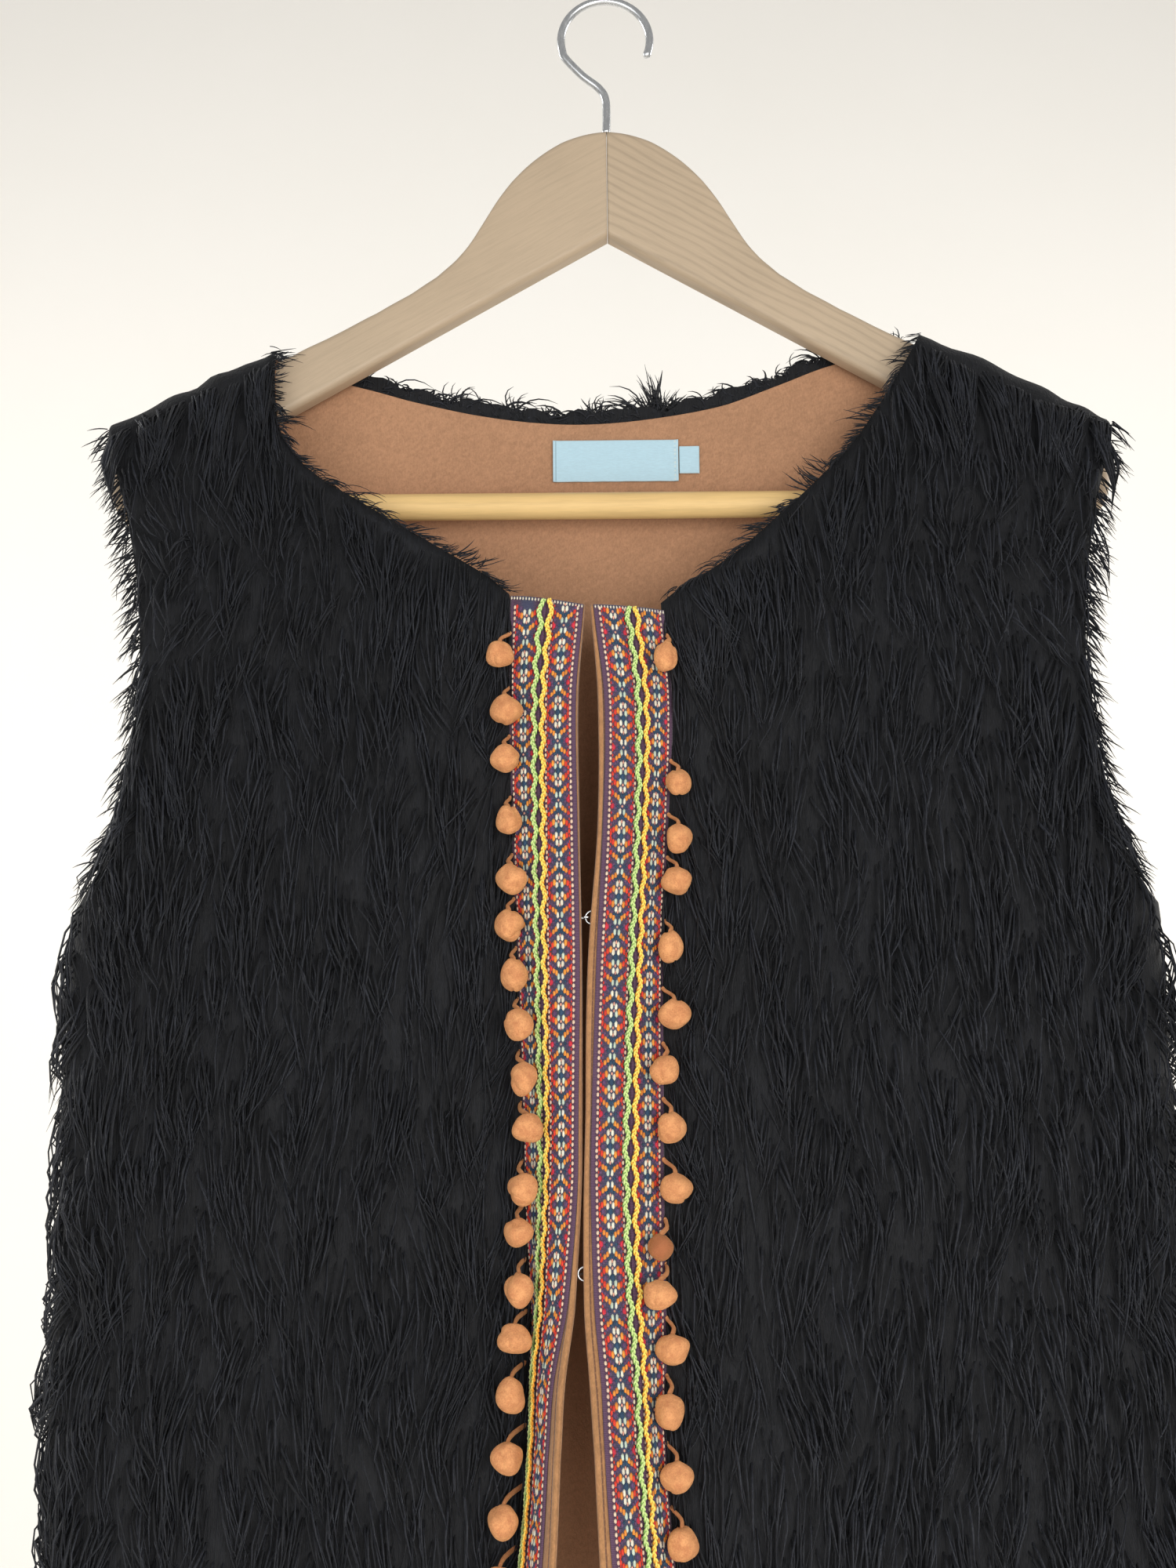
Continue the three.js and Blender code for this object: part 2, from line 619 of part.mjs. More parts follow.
// Bands: a folded suede edge, two ribbons and a braid between them

function bandStrip(side, across, hem, low, high) {
  const rows = bandHeights(hem);
  const grid = (pick) => rows.map((z) => across(z).map(
    (mark) => bandPoint(side, mark.w, z, pick(mark)).point,
  ));
  return wall(grid(low), grid(high));
}

function frontEdge(side) {
  const across = (z) => {
    const margin = lookup(BAND[side], 'margin', z);
    return [
      { w: -EDGE_NOSE, low: 0.3 * EDGE_THICKNESS, high: 0.7 * EDGE_THICKNESS },
      { w: 0, low: 0, high: EDGE_THICKNESS },
      { w: margin, low: 0, high: EDGE_THICKNESS },
      { w: margin + RIBBON_WIDTH / 2, low: 0, high: EDGE_THICKNESS },
      { w: margin + RIBBON_WIDTH, low: 0, high: EDGE_THICKNESS },
      { w: margin + 1.5 * RIBBON_WIDTH, low: 0, high: EDGE_THICKNESS },
      { w: margin + BAND_WIDTH, low: 0, high: EDGE_THICKNESS },
    ];
  };
  return bandStrip(side, across, LINING_HEM_Z, (mark) => mark.low, (mark) => mark.high);
}

function ribbon(side, which) {
  const start = which === 'inner' ? 0 : RIBBON_WIDTH + SEAM_GAP;
  const across = (z) => {
    const margin = lookup(BAND[side], 'margin', z) + start;
    return [0, 0.5, 1].map((share) => ({ w: margin + share * RIBBON_WIDTH }));
  };
  const low = EDGE_THICKNESS + SEAM_GAP;
  return bandStrip(side, across, LINING_HEM_Z, () => low, () => low + RIBBON_THICKNESS);
}

// Each cord of the braid swings away from the middle and back, and the two meet
// between the openings

function braidCord(side, which) {
  const away = which === 'outer' ? 1 : -1;
  const raise = EDGE_THICKNESS + RIBBON_THICKNESS + 2 * SEAM_GAP + 0.55 * CORD_DIAMETER;
  const repeats = Math.floor((BAND_TOP_Z - LINING_HEM_Z) / BRAID_REPEAT);
  const points = [];
  for (let i = 0; i <= 2 * repeats; i += 1) {
    const z = BAND_TOP_Z - 0.4 - i * BRAID_REPEAT / 2;
    const apart = i % 2 === 0 ? CORD_DIAMETER / 2 + 0.35 : (CORD_DIAMETER + BRAID_OPENING) / 2 + 0.35;
    const middle = lookup(BAND[side], 'margin', z) + RIBBON_WIDTH + SEAM_GAP / 2;
    points.push(bandPoint(side, middle + away * apart, z, raise).point);
  }
  return zigzagTube(points, CORD_DIAMETER);
}

function zigzagTube(points, diameter) {
  const half = diameter / 2;
  const rings = points.map((point, i) => {
    const before = points[Math.max(i - 1, 0)];
    const after = points[Math.min(i + 1, points.length - 1)];
    const along = after.clone().sub(before).normalize();
    const out = new THREE.Vector3(0, -1, 0).addScaledVector(along, along.y).normalize();
    const beside = along.clone().cross(out);
    return [[-1, -0.6], [1, -0.6], [0.75, 0.8], [-0.75, 0.8]].map(([sideways, outward]) => point.clone()
      .addScaledVector(beside, sideways * half * 0.92).addScaledVector(out, outward * half));
  });
  const positions = rings.flat().flatMap((corner) => [corner.x, corner.y, corner.z]);
  const faces = [];
  for (let r = 0; r < rings.length - 1; r += 1) {
    for (let k = 0; k < 4; k += 1) {
      const a = 4 * r + k;
      const b = 4 * r + (k + 1) % 4;
      faces.push(a, b, b + 4, a, b + 4, a + 4);
    }
  }
  const last = 4 * (rings.length - 1);
  faces.push(0, 2, 1, 0, 3, 2, last, last + 1, last + 2, last, last + 2, last + 3);
  const geometry = new THREE.BufferGeometry();
  geometry.setAttribute('position', new THREE.Float32BufferAttribute(positions, 3));
  geometry.setIndex(faces);
  return facingOut(geometry);
}

// Pompoms rest against the ribbon and the fur beside it

function faceSamples(side, furFace) {
  const samples = [];
  const top = EDGE_THICKNESS + SEAM_GAP + RIBBON_THICKNESS;
  for (let z = BAND_TOP_Z - 6; z > LINING_HEM_Z + 8; z -= 2) {
    const margin = lookup(BAND[side], 'margin', z);
    for (let w = RIBBON_WIDTH - BRAID_REACH; w <= BAND_WIDTH; w += 1.5) {
      const cord = w < RIBBON_WIDTH + BRAID_REACH ? CORD_DIAMETER + 2 * SEAM_GAP : 0;
      for (let raise = top + cord; raise >= top; raise -= 1) {
        samples.push(bandPoint(side, margin + w, z, raise).point);
      }
    }
  }
  const fine = 8;
  for (let r = NECK_STEPS - 1; r < furFace.length - 1; r += 1) {
    for (let c = 0; c < 3; c += 1) {
      for (let i = 0; i < fine; i += 1) {
        for (let k = 0; k < fine; k += 1) {
          const upper = furFace[r][c].clone().lerp(furFace[r][c + 1], k / fine);
          const lower = furFace[r + 1][c].clone().lerp(furFace[r + 1][c + 1], k / fine);
          samples.push(upper.lerp(lower, i / fine));
        }
      }
    }
  }
  return samples;
}

function restingDepth(x, z, radius, samples) {
  let depth = Infinity;
  for (const sample of samples) {
    const beside = Math.hypot(sample.x - x, sample.z - z);
    if (beside < radius) depth = Math.min(depth, sample.y - Math.sqrt(radius ** 2 - beside ** 2));
  }
  return depth;
}

function pompom(side, number, row, samples) {
  const radius = POMPOM_DIAMETER / 2;
  const x = sideSign[side] * row.x;
  const y = restingDepth(x, row.z, radius + 2 * SEAM_GAP, samples);
  const centre = new THREE.Vector3(x, y, row.z);
  const anchorW = lookup(BAND[side], 'margin', row.z) + BAND_WIDTH - 2;
  const raise = EDGE_THICKNESS + SEAM_GAP + RIBBON_THICKNESS + STEM_DIAMETER / 2 + SEAM_GAP;
  const anchor = bandPoint(side, anchorW, row.z + 4, raise).point;
  const stem = Math.max(anchor.distanceTo(centre), radius + 0.6);
  const profile = [new THREE.Vector2(0, -radius)];
  for (const degrees of [-45, 0, 45]) {
    const angle = THREE.MathUtils.degToRad(degrees);
    profile.push(new THREE.Vector2(radius * Math.cos(angle), radius * Math.sin(angle)));
  }
  profile.push(new THREE.Vector2(STEM_DIAMETER / 2, 0.97 * radius));
  profile.push(new THREE.Vector2(STEM_DIAMETER / 2, stem));
  profile.push(new THREE.Vector2(0, stem));
  const mesh = solid(`pompom_${side}_${String(number).padStart(2, '0')}`,
    new THREE.LatheGeometry(profile, 8), 'pompom');
  const towards = anchor.clone().sub(centre).normalize();
  mesh.quaternion.setFromUnitVectors(new THREE.Vector3(0, 1, 0), towards);
  mesh.position.copy(centre);
  return mesh;
}

// Hook-and-eye clasps: the hook is sewn behind the left edge, the eye behind the right,
// and they link in the gap between the two

function clasp({ name, z }) {
  const radius = CLASP_WIRE / 2;
  const left = bandPoint('left', 0, z, 0).point;
  const right = bandPoint('right', 0, z, 0).point;
  const carrier = bandPoint('right', CLASP_RING, z, 0).point;
  const plane = Math.max(left.y, carrier.y) + radius + SEAM_GAP;
  const eye = solid(`${name}_eye`, new THREE.TorusGeometry(CLASP_RING, radius, 6, 14), 'steel');
  eye.rotation.x = Math.PI / 2;
  eye.position.set(right.x - 0.2, plane, z);
  const sewn = CLASP_SEWN.map((w) => bandPoint('left', w, z, -radius - SEAM_GAP).point);
  const bent = [[3, 1], [1.7, 0.8], [1, 0], [1.7, -0.8]].map(([before, off]) => (
    new THREE.Vector3(right.x - before, plane + off * CLASP_PASS, z)));
  const tip = new THREE.Vector3(left.x + 1.1, plane - CLASP_PASS, z);
  const path = [...sewn, ...bent, tip];
  return [eye, solid(`${name}_hook`, tube(path, CLASP_WIRE, 6, 16), 'steel')];
}

// Labels are sewn inside the back, below the neck seam

function labelPiece(name, frame) {
  const across = 4;
  const rows = [frame.top, (frame.top + frame.bottom) / 2, frame.bottom];
  const grid = (raise) => rows.map((z) => {
    const row = [];
    for (let i = 0; i <= across; i += 1) {
      const x = lerp(frame.left, frame.right, i / across);
      row.push(new THREE.Vector3(x, depthAt(x, z, 'back') - raise, z));
    }
    return row;
  });
  const clear = 2 * SEAM_GAP;
  return solid(name, wall(grid(clear), grid(clear + LABEL_THICKNESS)), 'label');
}

// Every piece is checked and cleaned as a closed solid before it joins the group

const wasm = await Module();
wasm.setup();

function cleaned(mesh) {
  const bare = mesh.geometry.clone();
  bare.deleteAttribute('normal');
  bare.deleteAttribute('uv');
  const merged = mergeVertices(bare, 1e-4);
  const body = new wasm.Manifold(new wasm.Mesh({
    numProp: 3,
    vertProperties: merged.attributes.position.array,
    triVerts: Uint32Array.from(merged.index.array),
  }));
  const result = body.getMesh();
  const geometry = new THREE.BufferGeometry();
  geometry.setAttribute('position', new THREE.Float32BufferAttribute(result.vertProperties, 3));
  geometry.setIndex([...result.triVerts]);
  mesh.geometry = geometry;
  return mesh;
}

function buildVest() {
  const group = new THREE.Group();
  const pieces = [hangerArm('left'), hangerArm('right'), hangerBar(), hangerHook()];
  const back = backPanels();
  pieces.push(solid('back_fur', back.fur, 'fur'), solid('back_lining', back.lining, 'suede'));
  for (const side of ['left', 'right']) {
    const front = frontPanels(side);
    pieces.push(solid(`front_${side}_fur`, front.fur, 'fur'));
    pieces.push(solid(`front_${side}_lining`, front.lining, 'suede'));
    pieces.push(solid(`front_${side}_edge`, frontEdge(side), 'edging'));
    pieces.push(solid(`ribbon_${side}_inner`, ribbon(side, 'inner'), 'ribbonInner'));
    pieces.push(solid(`ribbon_${side}_outer`, ribbon(side, 'outer'), 'ribbonOuter'));
    const lime = side === 'left' ? 'outer' : 'inner';
    const yellow = side === 'left' ? 'inner' : 'outer';
    pieces.push(solid(`braid_${side}_lime`, braidCord(side, lime), 'lime'));
    pieces.push(solid(`braid_${side}_yellow`, braidCord(side, yellow), 'yellow'));
    const samples = faceSamples(side, front.furFace);
    POMPOMS[side].forEach((row, i) => pieces.push(pompom(side, i + 1, row, samples)));
  }
  for (const place of CLASPS) pieces.push(...clasp(place));
  pieces.push(labelPiece('label', LABEL), labelPiece('size_tab', SIZE_TAB));
  for (const piece of pieces) group.add(cleaned(piece));
  return group;
}

export default buildVest();
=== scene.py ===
"""Blender scene of a fur vest with woven ribbon bands, hanging on a wooden hanger.

Lengths in the tables and functions are millimetres in the frame of the CAD model:
+Z up, the vest's front faces -Y, the origin is the inside top of the hanger's hook.
Left and right are the viewer's left and right.
"""

import itertools
import math

import bpy
import numpy as np
from mathutils import Matrix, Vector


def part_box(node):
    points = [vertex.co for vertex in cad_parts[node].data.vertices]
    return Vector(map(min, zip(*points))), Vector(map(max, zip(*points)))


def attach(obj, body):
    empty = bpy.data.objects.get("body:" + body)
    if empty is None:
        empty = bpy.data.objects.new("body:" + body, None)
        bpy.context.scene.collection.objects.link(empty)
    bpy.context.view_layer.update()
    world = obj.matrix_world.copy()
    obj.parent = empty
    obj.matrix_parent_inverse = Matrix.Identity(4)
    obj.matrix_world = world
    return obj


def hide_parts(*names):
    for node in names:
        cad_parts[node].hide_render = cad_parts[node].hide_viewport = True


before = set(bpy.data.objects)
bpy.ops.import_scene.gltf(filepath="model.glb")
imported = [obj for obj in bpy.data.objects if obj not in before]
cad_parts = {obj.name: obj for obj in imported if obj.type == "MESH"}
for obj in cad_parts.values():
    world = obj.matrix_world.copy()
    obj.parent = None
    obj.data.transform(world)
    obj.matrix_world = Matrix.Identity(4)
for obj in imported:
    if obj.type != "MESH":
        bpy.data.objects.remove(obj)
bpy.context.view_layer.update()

bl_info = {
    "name": "Fur Vest on a Hanger",
    "version": (1, 0, 0),
    "blender": (4, 5, 0),
    "location": "3D View > Sidebar > Vest",
    "description": "Builds a fur vest with ribbon and pompom bands on a wooden hanger",
    "category": "Add Mesh",
}

MM = 0.001
SIGN = {"left": -1.0, "right": 1.0}
SIDES = ("left", "right")

# Sizes shared with the CAD model

SEAM_GAP = 0.3
HOOK_WIRE = 3.8
HOOK_BEND = 19.0
HOOK_NECK = 68.0
HOOK_ARC = {"from": -25, "to": 205, "step": 11.5}
HOOK_SHANK = ((-11, -37), (-3, -44), (0, -51))
HANGER_THICKNESS = 12.0
HANGER_DOME = 53.0
ARM_TIP = 222.0
ARM_STRAIGHT_FROM = 200
ARM_STRAIGHT_Z = -87
ARM_TIP_SLOPE = 0.53
ARM_UNDERSIDE_Z = -116.5
BAR_SEAT_Z = -141.0
ARM_TIP_Z = -118.0
BAR_DROP = 129.0
BAR_DIAMETER = 12.0
BAR_END = 198.0
NECK = {"left": 150.0, "right": 140.0}
SHOULDER_END = 222.0
UNDERARM_Z = -436.0
LINING_HEM_Z = -765.0
FUR_HEM_Z = -776.0
BODY_HALF_WIDTH = 226.0
SHOULDER_ROUNDING = 8.0
SHOULDER_LEVELS_OUT_Z = -345.0
SIDES_CLOSED_FROM_Z = -250.0
SIDE_SPREAD = 1.7
CLOTH_CLEARANCE = 1.5
LINING_THICKNESS = 1.4
FUR_THICKNESS = 10.5
FUR_AT_BAND = 0.25
FUR_AT_OPENING = 0.62
FUR_AT_SIDE = 0.9
FUR_AT_HEM = 0.55
LOCKS_TURN_Z = FUR_HEM_Z + 6
BAND_TOP_Z = -299.0
BOUND_TO_BAND_Z = -255.0
TOP_BELOW = {"left": (5.6, -0.4), "right": (5.6, 5.6)}
EDGE_THICKNESS = 2.4
EDGE_NOSE = 0.9
RIBBON_WIDTH = 15.4
RIBBON_THICKNESS = 0.9
BAND_WIDTH = 2 * RIBBON_WIDTH + SEAM_GAP
STITCH_HEIGHT = 0.42
GROUND_BELOW_FACE = 0.25
END_STITCH = {"pitch": 1.25, "wide": 0.8, "tall": 1.7}
BRAID_REPEAT = 11.2
BRAID_SWING = (0.98, 2.62)
PLAIT_PITCH = 6.5
PLIES = 3
APEX_Z = -(HOOK_NECK + HANGER_DOME)


def rows(names, *values):
    """Table rows as dictionaries, one for each tuple of values."""
    return [dict(zip(names.split(), row)) for row in values]


ARM_UPPER_EDGE = rows(
    "x z",
    (0, HANGER_DOME), (10, 51.5), (20, 48), (28, 43), (36, 36.5), (44, 28), (51, 18), (58, 6),
    (64, -4), (70, -11.5), (78, -19), (90, -27.5), (105, -36.5), (125, -47.5), (143, -57),
    (170, -71), (200, -87), (214, -96), (ARM_TIP, -106),
)

# The back's share of the strands that a front has, and how much longer they are.

BACK_STRANDS = 0.68
BACK_LENGTH = 1.1

# Front bands: x and y place the front edge, margin is the bare suede beside the inner
# ribbon, and the turns say how far the band's face looks away from the viewer.

BAND = {
    "left": rows(
        "z x y margin edge braid outer",
        (-299, -11.7, -25, 0.4, 0, 5, 32), (-345, -15, -27, 0.2, 16, 22, 44),
        (-400, -14.9, -29, 0.2, 14, 28, 50), (-460, -14.3, -31, 0.2, 15, 37, 56),
        (-521, -14.6, -34, 0.2, 31, 43, 57), (-554, -15.3, -37, 0.3, 32, 49, 63),
        (-597, -18.2, -42, 1.5, 41, 66, 78), (-624, -22.1, -49, 3.6, 52, 76, 81),
        (-650, -23.8, -56, 4.7, 57, 79, 84), (-700, -26.7, -59, 5.3, 53, 75, 80),
        (-776, -33.1, -59, 5.8, 46, 67, 73),
    ),
    "right": rows(
        "z x y margin edge braid outer",
        (-299, -9.7, -25, 0.8, 6, 17, 30), (-345, -6.2, -27, 1.6, 10, 25, 34),
        (-400, -7, -29, 1.2, 13, 33, 42), (-460, -11.3, -31, 2.2, 10, 31, 44),
        (-521, -12.9, -34, 1.4, 12, 22, 38), (-554, -13.8, -37, 1.7, 12, 21, 38),
        (-597, -13.9, -42, 2.8, 14, 26, 43), (-624, -12.1, -48, 3.1, 17, 38, 52),
        (-650, -10.5, -54, 2.6, 19, 44, 58), (-700, -8.2, -57, 3.4, 18, 43, 57),
        (-776, -4.5, -57, 4.1, 17, 38, 52),
    ),
}

NECKLINE = {
    "left": rows("z x", (-178, 150), (-196, 150), (-214, 148), (-226, 143), (-240, 131),
                 (-254, 110), (-266, 92), (-276, 76), (-287, 57), (-299, 43.6)),
    "right": rows("z x", (-172, 140), (-196, 128), (-212, 118), (-228, 107), (-241, 95),
                  (-254, 82), (-266, 69), (-276, 58), (-287, 42), (-299, 22.7)),
}

NECK_SEAM = rows("x z", (-150, -180.1), (-132, -184.5), (-115.8, -188.5), (-89.8, -195.8),
                 (-60.7, -202.4), (-32, -206.3), (-7, -207), (21.8, -204.4), (52, -198.9),
                 (77.5, -189.5), (103.4, -179.8), (122, -176.4), (140, -174.9))

ARMHOLE = rows("z x", (-222, SHOULDER_END), (-260, 212), (-300, 205), (-340, 203), (-380, 207),
               (-410, 214), (-425, 220), (UNDERARM_Z, BODY_HALF_WIDTH))

FULLNESS = rows("z front back", (-178, 0, 0), (-206, 1, 2), (-250, 5, 7), (-300, 9, 12),
                (-400, 14, 19), (-500, 18, 23), (-600, 20, 25), (-776, 22, 26))

# Pompoms: where each centre lies and how wide and tall it looks. The rows without a node
# carry each line on to the hem.

POMPOMS = {
    "left": rows(
        "z x wide tall",
        (-326, 48.4, 11.6, 11.8), (-350, 45.7, 13.5, 12.9), (-371, 46.0, 12.0, 12.2),
        (-398, 44.6, 10.6, 12.4), (-423, 43.3, 12.9, 12.9), (-442, 44.5, 12.2, 13.5),
        (-463, 42.3, 11.0, 14.0), (-484, 40.3, 11.5, 13.5), (-506, 38.4, 10.6, 14.0),
        (-526, 36.5, 13.5, 11.8), (-550, 38.7, 12.3, 12.9), (-567, 40.5, 11.5, 11.5),
        (-589, 40.2, 11.8, 14.0), (-608, 42.1, 13.5, 11.8), (-629, 43.5, 11.8, 14.0),
        (-652, 44.8, 12.6, 12.8), (-675, 46.2, 12.0, 13.4), (-697, 47.6, 13.0, 12.4),
        (-719, 49.0, 12.2, 13.2), (-742, 50.4, 12.8, 12.6),
    ),
    "right": rows(
        "z x wide tall",
        (-328, 22.3, 10.4, 13.5), (-382, 26.9, 11.0, 11.4), (-406, 26.7, 10.6, 12.9),
        (-424, 25.7, 12.9, 11.8), (-452, 22.3, 10.6, 13.5), (-480, 23.6, 13.5, 12.3),
        (-503, 18.8, 12.3, 12.3), (-526, 21.1, 11.8, 12.9), (-550, 22.5, 12.9, 12.3),
        (-573, 15.9, 10.2, 10.6), (-591, 15.1, 12.9, 11.8), (-612, 20.0, 13.5, 12.3),
        (-635, 18.2, 11.3, 14.4), (-659, 20.7, 12.6, 12.4), (-683, 22.2, 12.2, 13.2),
        (-707, 23.8, 13.0, 12.4), (-731, 25.4, 12.0, 13.0), (-754, 26.8, 12.6, 12.6),
    ),
}
POMPOM_NODES = 17
POMPOM_HALF_DEPTH = 6.6
STEM_RISE = 4.6
STEM_TAPER = (0.4, 0.8, 0.95, 1, 1, 1, 1, 1, 1, 1, 0.9)
TURNED_POMPOM = ("right", 10)

CLASPS = {"upper": -440.0, "lower": -583.0}
CLASP_WIRE = 1.0
CLASP_RING = 2.6
CLASP_PASS = 1.4

LABEL = {"left": -25.9, "right": 31.3, "top": -215.0, "bottom": -234.0}
SIZE_TAB = {"left": 31.7, "right": 40.9, "top": -218.0, "bottom": -230.5}

# Woven motif: a quarter of it, from the middle of the large diamond outwards and down to the
# crossing. Each row is one raised thread, and the quarter is mirrored across and along.

THREADS = {
    "N": (50, 80, 108), "P": (104, 78, 116), "M": (220, 238, 216), "C": (255, 248, 224),
    "O": (255, 160, 66), "R": (240, 70, 50), "K": (220, 52, 78), "S": (244, 178, 154),
    "dot": (255, 222, 192),
}
GROUND_COLOURS = {"selvedge": (112, 84, 108), "field": (98, 72, 92), "heart": (80, 84, 110)}
MOTIF = rows(
    "across along wide tall code",
    (0, 0, 2.3, 3.1, "N"), (2.9, 0, 1.9, 2.3, "P"), (4.4, 1.1, 0.95, 1.9, "R"),
    (1.1, 2.1, 1.2, 2.8, "M"), (0, 3.5, 0.8, 1.3, "S"), (2.25, 3.3, 1.3, 2.9, "O"),
    (3.4, 2.6, 1.2, 2.6, "R"), (0.85, 5.4, 1.15, 2.7, "C"), (0, 6.4, 0.6, 1.6, "S"),
    (0.5, 8.1, 1.1, 1.6, "N"), (1.5, 7.4, 1.1, 1.6, "N"), (2.5, 6.6, 1.1, 1.6, "P"),
    (3.5, 5.8, 1.1, 1.6, "P"), (4.4, 5.1, 1.1, 1.6, "P"), (1.75, 8.9, 1.15, 2.6, "O"),
    (2.9, 8.0, 1.15, 2.4, "O"), (4.1, 7.0, 1.05, 2.2, "R"), (0.85, 10.5, 1.15, 2.7, "M"),
    (0, 10.2, 0.5, 2.4, "N"), (0, 12.75, 0.8, 1.1, "S"), (1.9, 12.75, 1.2, 1.3, "N"),
    (2.9, 12.0, 1.0, 1.6, "P"), (3.9, 10.2, 1.1, 1.5, "P"), (4.1, 12.75, 1.6, 2.4, "K"),
)
MOTIF_REPEAT = 25.5
MOTIF_START = {("left", "inner"): 2.0, ("left", "outer"): 6.0, ("right", "inner"): 5.0,
               ("right", "outer"): 17.0}
THREAD_FULLNESS = (1.36, 1.24)
DOT_PLACE = 2.3
DOT_PITCH = 2.46

# One raised thread: six points round its foot, drawn in at both ends, and a ridge of two, so
# that it catches the light along its length. The columns are across, along and up.

STITCH = np.array([
    (0, 0.5, 0), (0.5, 0.2, 0), (0.5, -0.2, 0), (0, -0.5, 0), (-0.5, -0.2, 0), (-0.5, 0.2, 0),
    (0, 0.24, 1), (0, -0.24, 1),
])
STITCH_FACES = np.array([
    (0, 5, 6), (0, 6, 1), (1, 6, 7), (1, 7, 2), (2, 7, 3), (3, 7, 4), (4, 7, 6), (4, 6, 5),
    (0, 1, 2), (0, 2, 3), (0, 3, 4), (0, 4, 5),
])

# Studio: the sweep in millimetres, the lamps in metres and watts. The camera's tilt and roll
# are degrees.

FLOOR_Z = -1500
WALL_Y = 4200
WALL_HEIGHT = 7000
SWEEP_RADIUS = 1200
SWEEP_WIDTH = 12000
AIR_STRENGTH = 0.42
VEST_MIDDLE = (0, 0, -0.45)
LAMPS = rows(
    "name place target size power colour",
    ("key", (0.8, -2.1, -0.6), VEST_MIDDLE, 1.5, 26, (1, 0.985, 0.96)),
    ("fill", (-1.0, -2.0, -0.9), VEST_MIDDLE, 2.0, 18, (0.98, 0.99, 1)),
    ("backdrop_left", (-2.6, 1.2, 0.6), (0.52, 4.2, 0.6), 1.5, 66, (1, 0.99, 0.97)),
    ("backdrop_right", (2.6, 1.2, 0.6), (-0.52, 4.2, 0.6), 1.5, 66, (1, 0.99, 0.97)),
)
CAMERA = {"lens": 45.9, "place": (-0.0112, -0.850, -0.558), "tilt": 102, "roll": -0.5}


# Small formulas

def smoothstep(x, low, high):
    t = np.clip((x - low) / (high - low), 0, 1)
    return t * t * (3 - 2 * t)


def lerp(a, b, t):
    return a + (b - a) * t


def unit(vectors):
    """Each vector divided by its own length."""
    return vectors / np.maximum(np.linalg.norm(vectors, axis=-1, keepdims=True), 1e-12)


def through(table, key, column, at):
    """Cubic run through a table's rows. Between two rows the value goes from one to the
    next with slopes taken from their neighbours, and stays level past both ends."""
    table = sorted(table, key=lambda row: row[key])
    knots = np.array([row[key] for row in table], float)
    values = np.array([row[column] for row in table], float)
    at = np.clip(np.asarray(at, float), knots[0], knots[-1])
    last = len(knots) - 1
    i = np.clip(np.searchsorted(knots, at, side="right") - 1, 0, last - 1)
    t = (at - knots[i]) / (knots[i + 1] - knots[i])
    before, start = values[np.maximum(i - 1, 0)], values[i]
    end, after = values[i + 1], values[np.minimum(i + 2, last)]
    smooth = start + (end - start) * (3 * t * t - 2 * t ** 3)
    return smooth + 0.5 * ((end - before) * t * (1 - t) ** 2 - (after - start) * t * t * (1 - t))


def lookup(table, column, z):
    return through(table, "z", column, z)


def scatter(seed):
    return np.random.default_rng(seed)


def cell_noise(a, b, seed):
    """An even value from 0 to 1 for each pair of whole numbers: the fractional part of a
    large multiple of a sine."""
    return np.mod(np.sin(a * 12.9898 + b * 78.233 + seed * 37.719) * 43758.5453, 1.0)


# The vest's surfaces

def shoulder_top(x):
    """Height of the cloth over the hanger: the arm's upper edge plus a small clearance."""
    far = np.abs(np.asarray(x, float))
    knots = [row["x"] for row in ARM_UPPER_EDGE[:-2]]
    values = [row["z"] for row in ARM_UPPER_EDGE[:-2]]
    edge = np.where(far < ARM_STRAIGHT_FROM, np.interp(far, knots, values),
                    values[-1] - ARM_TIP_SLOPE * (far - ARM_STRAIGHT_FROM))
    return APEX_Z + edge + CLOTH_CLEARANCE


def armhole_x(z):
    return np.where(z > UNDERARM_Z, lookup(ARMHOLE, "x", z), BODY_HALF_WIDTH)


def depth_at(x, z, column):
    """How far the cloth stands off the hanger's plane: a quarter circle over the shoulder
    plus the body's fullness, closed like a rounded oval towards the side seams."""
    drop = np.maximum(shoulder_top(x) - z, 0)
    over = 1 - np.minimum(drop / SHOULDER_ROUNDING, 1)
    shoulder = SHOULDER_ROUNDING * np.sqrt(1 - over * over)
    across = np.minimum(np.abs(x) / BODY_HALF_WIDTH, 1)
    closing = (1 - across ** 4) ** 0.25
    closed = 1 - smoothstep(z, UNDERARM_Z, SIDES_CLOSED_FROM_Z)
    return (shoulder + lookup(FULLNESS, column, z)) * lerp(1, closing, closed)


def band_point(side, w, z, raise_=0.0):
    """A point of a front band. From the front edge the path runs w outward, its direction
    turning evenly to the braid and on to the outer edge, and raise_ stands off its face.
    Returns the points and the directions straight off the face."""
    w, z, raise_ = np.broadcast_arrays(*[np.asarray(v, float) for v in (w, z, raise_)])
    sign = SIGN[side]
    table = BAND[side]
    braid_at = lookup(table, "margin", z) + RIBBON_WIDTH
    edge, braid, outer = [np.radians(lookup(table, c, z)) for c in ("edge", "braid", "outer")]

    def turn(across):
        near = edge + (braid - edge) * np.maximum(across, 0) / braid_at
        far = braid + (outer - braid) * np.minimum((across - braid_at) / RIBBON_WIDTH, 1.2)
        return np.where(across < braid_at, near, far)

    steps = 16
    turns = [turn(w * (i + 0.5) / steps) for i in range(steps)]
    x = lookup(table, "x", z) + sign * w * np.mean([np.cos(t) for t in turns], axis=0)
    y = lookup(table, "y", z) + w * np.mean([np.sin(t) for t in turns], axis=0)
    face = turn(w)
    normal = np.stack([sign * np.sin(face), -np.cos(face), np.zeros_like(face)], -1)
    return np.stack([x, y, z], -1) + normal * raise_[..., None], normal


